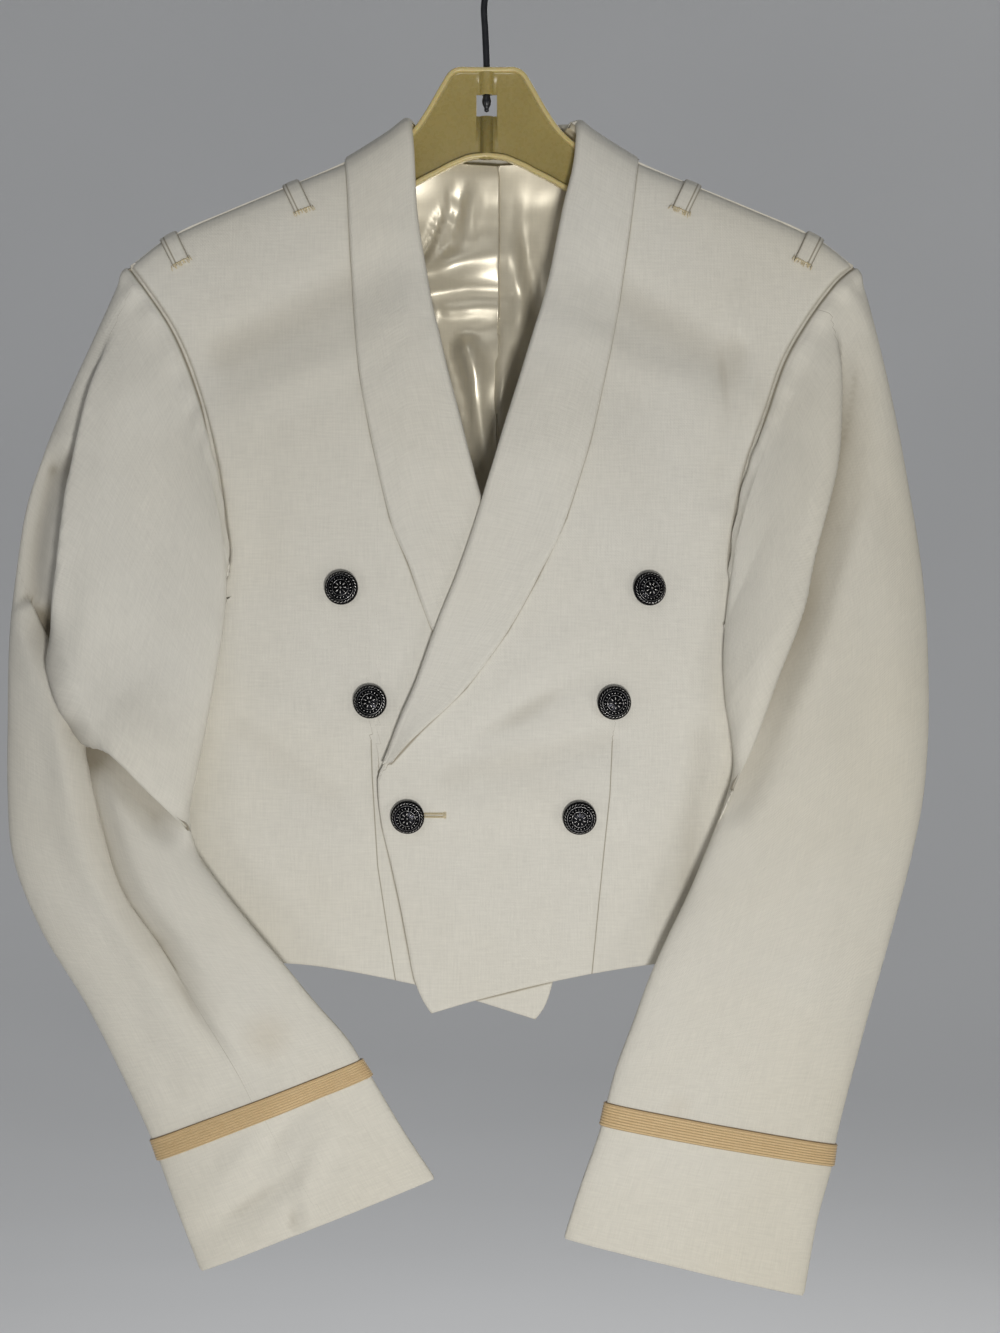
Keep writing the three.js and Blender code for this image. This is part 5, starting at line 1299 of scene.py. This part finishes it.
braid_finish = braid_material()
for name, side, rows, armhole, laps, creases, waves in SLEEVES:
    across = np.linspace(0, 1, BRAID_RIBS * 6 + 1)
    shares = (BRAID_ROWS[0] + 1 + across) / len(rows)
    turn = np.linspace(0, 1, 221)
    grid, _, _ = sleeve_grid(side, rows, armhole, laps, creases, waves, shares, turn)
    ribs = BRAID_SHAPE["rib"] * (1 - np.cos(across * 2 * math.pi * BRAID_RIBS))
    from_ends = np.stack([across, 1 - across]) / BRAID_SHAPE["end_share"]
    ends = BRAID_SHAPE["end"] * np.exp(-(from_ends**2)).sum(0)
    grid = moved_out(grid, (BRAID_SHAPE["above"] + ribs - ends)[:, None], -side)
    cloth_object(
        f"braid_{name}_tape", grid, -side, BRAID_SHAPE["thick"], braid_finish, [f"braid_{name}"],
        (0.31, 0.0128), None,
    )

# Loops for shoulder boards: narrow strips of drill, folded to their width and laid over each shoulder. Both
# ends are sewn down, and the cream stitches of the front end show.
LOOPS = [("right_inner", -114.5), ("right_outer", -184), ("left_inner", 114.5), ("left_outer", 184)]
LOOP = {"width": 9.5, "front": 20, "back": 24, "thick": 1.2, "lean": 0.4, "fold": 7.3}
LOOP_STEPS = [(-1, -0.35, 26), (-0.35, 0.35, 30), (0.35, 1, 26)]  # from the back end over the shoulder
LOOP_TURNS = {"first": (0.9, 0.5), "last": (0.9, 0.5), "top": (0.5, 0.6), "bottom": (0.8, 0.6)}
THREAD_ENDS = (0.45, 0.9, 1, 1, 1, 0.9, 0.45)  # the thickness along one stitch
THREAD_SIDES = 8
STITCH = 0.26


def cream_thread():
    material, tree, shader = new_material("cream thread")
    lay = noise(tree, object_place(tree), 1500.0)
    set_inputs(tree, shader, {
        "Base Color": mixed_colours(tree, lay, (0.50, 0.40, 0.22, 1), (0.80, 0.70, 0.46, 1)),
        "Normal": bumped(tree, lay, 0.5, 0.0003),
        "Roughness": 0.6,
    })
    return material


def thread_mesh(name, strands, thread, material):
    """Short threads, each a rounded bar through its points."""
    points, faces = [], []
    count = len(THREAD_ENDS)
    taper = np.array(THREAD_ENDS)[:, None] * thread
    for strand in strands:
        line = even_line(strand, np.linspace(0, 1, count))
        along = np.gradient(line, axis=0)
        along /= np.linalg.norm(along, axis=1)[:, None]
        across = np.cross(along, (0, 1, 0))
        across /= np.linalg.norm(across, axis=1)[:, None]
        up = np.cross(across, along)
        start = len(points)
        for angle in np.linspace(0, 2 * math.pi, THREAD_SIDES, endpoint=False):
            points.extend(line + (across * math.cos(angle) + up * math.sin(angle)) * taper)
        for k in range(THREAD_SIDES):
            a, b = start + k * count, start + (k + 1) % THREAD_SIDES * count
            faces.extend((a + i, a + i + 1, b + i + 1, b + i) for i in range(count - 1))
        for end in (0, count - 1):
            faces.append(tuple(start + k * count + end for k in range(THREAD_SIDES)))
    return mesh_object(name, np.array(points), faces, material)


def loop_grid(centre):
    side = math.copysign(1, centre)
    share = np.concatenate([np.linspace(start, end, steps, end == 1) for start, end, steps in LOOP_STEPS])
    drop = (np.sign(share) * share**2 * np.where(share > 0, LOOP["front"], LOOP["back"]))[:, None]
    across = shares_across(LOOP["width"], 0.9, (0.25, 0.6))[None]
    x = centre + side * (LOOP["width"] * (across - 0.5) - LOOP["lean"] * np.abs(drop))
    z = shoulder_z(x) - np.abs(drop)
    grid = np.where((drop < 0)[..., None], on_back(x, z), on_right_front(x, z))
    bow = 0.3 * (1 - np.abs(share[:, None]) ** 4) + 0.2 * np.sin(across * math.pi)
    fold = -0.35 * np.exp(-(((across * LOOP["width"] - LOOP["fold"]) / 0.45) ** 2))
    grid = moved_out(grid, SEAM_GAP + LOOP["thick"] + bow + fold, side)
    grid = edged(grid, side, **LOOP_TURNS)
    place = across * LOOP["width"] + np.zeros(grid.shape[:2])
    # The distances from the loop's two edges and from its fold give a painted shadow line along each.
    return grid, [place, LOOP["width"] - place, (place - LOOP["fold"]) * 1.8]


def loop_stitches(centre, random):
    """The crossed stitches that hold a loop's front end, uneven and a little frayed."""
    side = math.copysign(1, centre)

    def at(across, drop, lift):
        x = np.array(centre + side * (LOOP["width"] * (across - 0.5) - LOOP["lean"] * drop))
        return on_right_front(x, shoulder_z(x) - drop) - (0, lift, 0)

    strands = []
    for across in np.linspace(-0.04, 1.04, 11):
        lean, low = random.uniform(-0.12, 0.12), LOOP["front"] + random.uniform(0.6, 1.9)
        top, middle = at(across, low - 3.1, 2.0), at(across + lean / 2, low - 1.4, 2.1)
        strands.append([top, middle, at(across + lean, low, 0.6)])
    strands.append([at(a, LOOP["front"] - 1.2, 2.3) for a in (0.02, 0.5, 0.98)])
    return strands


stitching = cream_thread()
random = np.random.RandomState(5)
for name, centre in LOOPS:
    made = thread_mesh(f"shoulder_loop_{name}_thread", loop_stitches(centre, random), STITCH, stitching)
    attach(made, "root")
    grid, seam_and_shadow_lines = loop_grid(centre)
    side = math.copysign(1, centre)
    cloth_object(
        f"shoulder_loop_{name}_cloth", grid, side, LOOP["thick"] - 0.2, drill,
        [f"shoulder_loop_{name}"], (0.0105, 0.048), None,
        seam_and_shadow_lines=seam_and_shadow_lines,
    )

# Six domed buttons of blackened brass, with a corded rim, a ring of beads and a plain rosette, sewn on
# through a shank. The relief is rubbed bright, painted pale and half matt so that it also stands for
# glints.
BUTTONS = [  # name, x, z, on the left front
    ("button_right_upper", -84, -384.5, False),
    ("button_right_middle", -68, -448, False),
    ("button_right_lower", -47, -512, True),
    ("button_left_upper", 87.5, -385, True),
    ("button_left_middle", 68, -448.5, True),
    ("button_left_lower", 49, -512.5, True),
]
BUTTON = {"radius": 9.5, "edge": 1.6, "height": 7.6, "stand": 2.6, "relief": 0.55, "spokes": 128}
BUTTON_TURN = 23  # degrees from each button to the next
BUTTON_LOW = BUTTON["stand"] + BUTTON["edge"]
DOME = [  # share of the radius, height
    (0, BUTTON["height"]), (0.38, BUTTON_LOW + 3.06), (0.72, BUTTON_LOW + 1.9), (0.9, BUTTON_LOW + 0.55),
    (0.957, BUTTON_LOW),
]
DOME_RINGS = 46
BUTTON_BACK = [  # share of the radius and height, from the rolled rim round to the shank's foot
    (0.945, BUTTON_LOW + 0.1), (0.957, BUTTON_LOW + 0.05), (0.975, BUTTON_LOW - 0.2),
    (0.99, BUTTON_LOW - 0.8), (1.0, BUTTON_LOW - 1.25), (0.99, BUTTON_LOW - 1.6), (0.926, BUTTON_LOW - 1.6),
    (0.6, BUTTON_LOW - 1.6), (0.34, BUTTON_LOW - 1.7), (0.336, 1.0), (0.3, 0.0),
]


def button_material():
    material, tree, shader = new_material("blackened brass")
    rubbed = noise(tree, object_place(tree), 900.0, 4.0)
    high = spread(tree, attribute(tree, "relief"), 0.42, 0.85)
    # Rubbed wear on the relief, painted near white and made half matt: a painted glint as well as wear.
    worn_and_glint = sum_of(tree, "MULTIPLY", high, spread(tree, rubbed, 0.35, 0.6, 0.25, 1.0))
    set_inputs(tree, shader, {
        "Base Color": mixed_colours(tree, worn_and_glint, (0.010, 0.010, 0.012, 1), (0.92, 0.90, 0.87, 1)),
        "Roughness": spread(tree, rubbed, low=0.16, high=0.34),
        "Metallic": spread(tree, worn_and_glint, low=1.0, high=0.5),
    })
    return material


def button_mesh(material):
    """A button that stands on the origin: rings from its dome's middle over the rim and down the shank."""
    radius, spokes = BUTTON["radius"], BUTTON["spokes"]
    back = np.array(BUTTON_BACK)
    r = np.concatenate([np.linspace(0.004, 0.93, DOME_RINGS), back[:, 0]])[:, None]
    angle = np.linspace(0, 2 * math.pi, spokes, endpoint=False)[None]
    height = column(DOME)(np.minimum(r, DOME[-1][0])) + np.zeros_like(angle)
    height[DOME_RINGS:] = back[:, 1:]
    petals = np.exp(-(((r - 0.27) / 0.12) ** 2)) * np.maximum(np.cos(angle * 8), -0.2)
    heart = np.exp(-((r / 0.075) ** 2))
    beads = np.exp(-(((r - 0.61) / 0.055) ** 2)) * np.maximum(np.cos(angle * 20), 0)
    ring = np.exp(-(((r - 0.47) / 0.02) ** 2)) + np.exp(-(((r - 0.74) / 0.018) ** 2))
    rope = np.exp(-(((r - 0.87) / 0.05) ** 2)) * (0.5 + 0.5 * np.cos(angle * 28 + r * 70))
    relief = np.clip(petals + heart + 0.9 * beads + 0.7 * ring + rope, 0, 1.2)
    relief[DOME_RINGS:] = 0.15
    height[:DOME_RINGS] += BUTTON["relief"] * relief[:DOME_RINGS]
    points = np.stack([r * radius * np.cos(angle), r * radius * np.sin(angle), height], -1).reshape(-1, 3)
    rings = len(r)
    faces = [face[3:] + face[:3] for face in ring_faces(rings, spokes)]  # so each splits along the cord
    faces.append(tuple(range(spokes)))
    faces.append(tuple((rings - 1) * spokes + k for k in range(spokes))[::-1])
    made = mesh_object("button", points, faces, material)
    add_values(made, "relief", "FLOAT", relief)
    return made


def place_on_front(made, x, z, over, turn):
    surface = on_left_front if over else on_right_front
    at = lambda dx, dz: surface(np.array(x + dx, float), np.array(z + dz, float))
    out = Vector(np.cross(at(4, 0) - at(-4, 0), at(0, 4) - at(0, -4))).normalized()
    seat = Vector(at(0, 0)) + out * SEAM_GAP
    made.location = seat * MM
    made.rotation_mode = "QUATERNION"
    made.rotation_quaternion = out.to_track_quat("Z", "Y") @ Vector((0, 0, 1)).to_track_quat("Z", "Y")
    made.rotation_quaternion.rotate(Matrix.Rotation(math.radians(turn), 3, out))


first_button = button_mesh(button_material())
for index, (name, x, z, over) in enumerate(BUTTONS):
    made = first_button if index == 0 else first_button.copy()
    if index:
        made.data = first_button.data.copy()
        bpy.context.scene.collection.objects.link(made)
    made.name = f"{name}_metal"
    place_on_front(made, x, z, over, BUTTON_TURN * index)
    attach(made, "root")
    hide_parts(name)

# The buttonhole of the lower right button: a cut edged with close buttonhole stitch in cream thread, and a
# bar of thread across its end.
BUTTONHOLE = {
    "left": -37.5, "right": -26.5, "z": -511.5, "half": 1.5, "bar": 2.1, "thread": 0.55, "step": 0.62,
}


def buttonhole_strands():
    hole = BUTTONHOLE

    def strand(x, rows):
        at = lambda z: on_left_front(np.array(float(x)), np.array(hole["z"] + z))
        return [at(z) - (0, lift, 0) for z, lift in rows]

    strands = []
    for x in np.arange(hole["left"], hole["right"], hole["step"]):
        for way in (-1, 1):
            near, far = way * 0.25, way * hole["half"]
            strands.append(strand(x, [(near, 0.3), ((near + far) / 2, 0.75), (far, 0.1)]))
    for offset in (0, 0.8):
        strands.append(strand(hole["right"] + offset, [(-hole["bar"], 0.1), (0, 1.1), (hole["bar"], 0.1)]))
    return strands


buttonhole = thread_mesh("buttonhole_thread", buttonhole_strands(), BUTTONHOLE["thread"] / 2, stitching)
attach(buttonhole, "root")

# The hanger: cloudy amber plastic, moulded as a thin web with a thick rim and a rib down its neck plate,
# which has a window for the end of the hook.
HANGER = {"centre": -3, "depth": 8.4, "web": 2.8, "rim": 2.6, "rib": 8, "window": (11.6, -115, -102.5)}
RIB = {"length": 51, "middle": -113.6}
BORE = {"radius": 2.3, "depth": 30, "above": 13}
HANGER_HALF = [  # x, top, bottom
    (0, -87.2, -138.5), (9, -87.2, -139.5), (17, -87.4, -142.5), (21.5, -90, -144.5), (26, -97, -147),
    (35, -112.5, -151.5), (42, -122.5, -155.5), (50, -130, -160), (60, -137, -165), (83, -150.5, -177),
    (110, -161.5, -190), (144, -176, -203), (170, -187.5, -211), (184, -197, -215), (189, -203, -212),
]
HANGER_ARM = (50, 80)  # between these the arms go over from the plate's centre to the jacket's


def amber_material():
    material, tree, shader = new_material("cloudy amber plastic")
    place = object_place(tree)
    cloudy = noise(tree, place, 26.0, 4.0)
    amber = mixed_colours(tree, cloudy, (0.35, 0.27, 0.085, 1), (0.46, 0.375, 0.145, 1))
    scratched = noise(tree, place, 420.0, 3.0)
    set_inputs(tree, shader, {
        # A painted highlight: the rim is mixed towards a lighter amber.
        "Base Color": mixed_colours(tree, attribute(tree, "rim"), amber, (0.68, 0.56, 0.26, 1)),
        "Roughness": spread(tree, scratched, low=0.2, high=0.36),
        "Normal": bumped(tree, scratched, 0.08, 0.0004),
        "Subsurface Weight": 0.35,
        "Subsurface Radius": (0.9, 0.6, 0.2),
        "Subsurface Scale": 0.004,
    })
    return material


def hanger_outline():
    """The outline as two lines from left to right, the upper and the lower, at the same places."""
    half = np.array(HANGER_HALF, float)
    upper = np.concatenate([half[:0:-1, [0, 1]] * (-1, 1), half[:, [0, 1]]])
    top = even_line(upper, np.linspace(0, 1, 301))
    low = column(HANGER_HALF, 0, 2)(np.abs(top[:, 0]))
    shift = HANGER["centre"] * (1 - smooth(np.abs(top[:, 0]), *HANGER_ARM))
    x = top[:, 0] + shift
    return np.stack([x, top[:, 1]], 1), np.stack([x, low], 1)


def hanger_mesh(material):
    upper, lower = hanger_outline()
    loop = np.concatenate([upper, lower[::-1]])
    along = np.roll(loop, -1, 0) - np.roll(loop, 1, 0)
    inward = np.stack([along[:, 1], -along[:, 0]], 1) / np.linalg.norm(along, axis=1)[:, None]
    half, web, rim = HANGER["depth"] / 2, HANGER["web"] / 2, HANGER["rim"]
    profile = [  # inset, y from the web's face over the rim to the outer side
        (rim + 1.2, web), (rim + 0.45, web + 0.2), (rim + 0.12, web + 0.8), (rim, half - 0.6),
        (rim - 0.25, half - 0.15), (rim - 0.8, half), (0.9, half), (0.3, half - 0.2), (0, half - 0.9),
    ]
    profile = [(inset, -y) for inset, y in profile] + [(inset, y) for inset, y in profile[::-1]]
    count = len(loop)
    rings = []
    for inset, y in profile:
        moved = loop + inward * inset
        rings.append(np.stack([moved[:, 0], np.full(count, y), moved[:, 1]], 1))
    faces = []
    for k in range(len(rings) - 1):
        for i in range(count):
            n = (i + 1) % count
            faces.append((k * count + i, k * count + n, (k + 1) * count + n, (k + 1) * count + i))
    last = (len(rings) - 1) * count
    stations = count // 2
    for i in range(stations - 1):
        a, b, c, d = i, i + 1, count - 2 - i, count - 1 - i
        faces.append((d, c, b, a))
        faces.append((last + a, last + b, last + c, last + d))
    made = mesh_object("hanger_plastic", np.concatenate(rings), faces, material)
    # Which rings of the profile are rim, for its painted highlight.
    rim_highlight = np.repeat([0.0 if inset > rim + 0.3 else 1.0 for inset, _ in profile], count)
    add_values(made, "rim", "FLOAT", rim_highlight)
    return made


def cutter(name, kind, size, place):
    """A box of three sizes, or a rod of a radius and a length."""
    shape = bmesh.new()
    if kind == "box":
        bmesh.ops.create_cube(shape, size=1)
        bmesh.ops.scale(shape, vec=size, verts=shape.verts)
    else:
        radius, depth = size
        ends = {"radius1": radius, "radius2": radius}
        bmesh.ops.create_cone(shape, cap_ends=True, segments=40, depth=depth, **ends)
    bmesh.ops.translate(shape, vec=place, verts=shape.verts)
    bmesh.ops.scale(shape, vec=(MM, MM, MM), verts=shape.verts)
    mesh = bpy.data.meshes.new(name)
    shape.to_mesh(mesh)
    shape.free()
    made = bpy.data.objects.new(name, mesh)
    bpy.context.scene.collection.objects.link(made)
    return made


def combine(made, tool, operation):
    """Joins or cuts a piece with a tool, and takes the tool away."""
    change = made.modifiers.new("join", "BOOLEAN")
    change.object = tool
    change.operation = operation
    change.solver = "EXACT"
    changed = bpy.data.meshes.new_from_object(made.evaluated_get(bpy.context.evaluated_depsgraph_get()))
    made.modifiers.clear()
    made.data = changed
    bpy.data.objects.remove(tool)


hanger = hanger_mesh(amber_material())
wide, low, high = HANGER["window"]
centre = HANGER["centre"]
rib = cutter("rib", "rod", (HANGER["rib"] / 2, RIB["length"]), (centre, 0, RIB["middle"]))
combine(hanger, rib, "UNION")
window = cutter("window", "box", (wide, 20, high - low), (centre, 0, (low + high) / 2))
combine(hanger, window, "DIFFERENCE")
bore = cutter("bore", "rod", (BORE["radius"], BORE["depth"]), (centre, 0, high + BORE["above"]))
combine(hanger, bore, "DIFFERENCE")
for polygon in hanger.data.polygons:
    polygon.use_smooth = True
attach(hanger, "root")
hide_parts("hanger")

# The hook: black coated wire, bent to a curl that passes over a rail. Its stem goes down through the rib
# and ends in a bead in the window.
WIRE = 3.9
WIRE_SIDES = 20
BEAD = {"z": -106.2, "reach": 2.4, "out": 0.7}
HOOK_RADIUS = 19
STEM = [(-3, -112.5), (-3, -98), (-3, -86), (-3.8, -66), (-4.4, -52), (-3, -45.5), (4, -40)]
CURL = (-50, 205, 13)  # from, to, points


def wire_material():
    material, tree, shader = new_material("black coated wire")
    scuffed = noise(tree, object_place(tree), 260.0, 3.0)
    set_inputs(tree, shader, {
        "Base Color": mixed_colours(tree, scuffed, (0.006, 0.007, 0.010, 1), (0.030, 0.031, 0.036, 1)),
        "Roughness": spread(tree, scuffed, low=0.22, high=0.45),
    })
    return material


def hook_mesh(material):
    radius = HOOK_RADIUS + WIRE / 2
    angles = np.radians(np.linspace(*CURL))
    curl = [(radius * math.cos(a), radius * math.sin(a) - HOOK_RADIUS) for a in angles]
    line = even_line(STEM + curl, np.linspace(0, 1, 261))
    along = np.gradient(line, axis=0)
    along /= np.linalg.norm(along, axis=1)[:, None]
    z = line[:, 1]
    bead = BEAD["out"] * np.exp(-(((z - BEAD["z"]) / BEAD["reach"]) ** 2))
    thick = WIRE / 2 + bead - 0.6 * smooth(-z, 108.5, 110)
    thick[0] = 0.2
    thick[-1] = 0.3
    thick[-2] = WIRE / 2 * 0.85
    sides = WIRE_SIDES
    around = np.linspace(0, 2 * math.pi, sides, endpoint=False)
    points = []
    for (x, z), (dx, dz), r in zip(line, along, thick):
        for a in around:
            points.append((x - dz * math.cos(a) * r, math.sin(a) * r, z + dx * math.cos(a) * r))
    faces = ring_faces(len(line), sides)
    faces.append(tuple(range(sides)))
    faces.append(tuple((len(line) - 1) * sides + k for k in range(sides))[::-1])
    return mesh_object("hook_wire", points, faces, material)


hook = hook_mesh(wire_material())
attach(hook, "root")
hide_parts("hook")
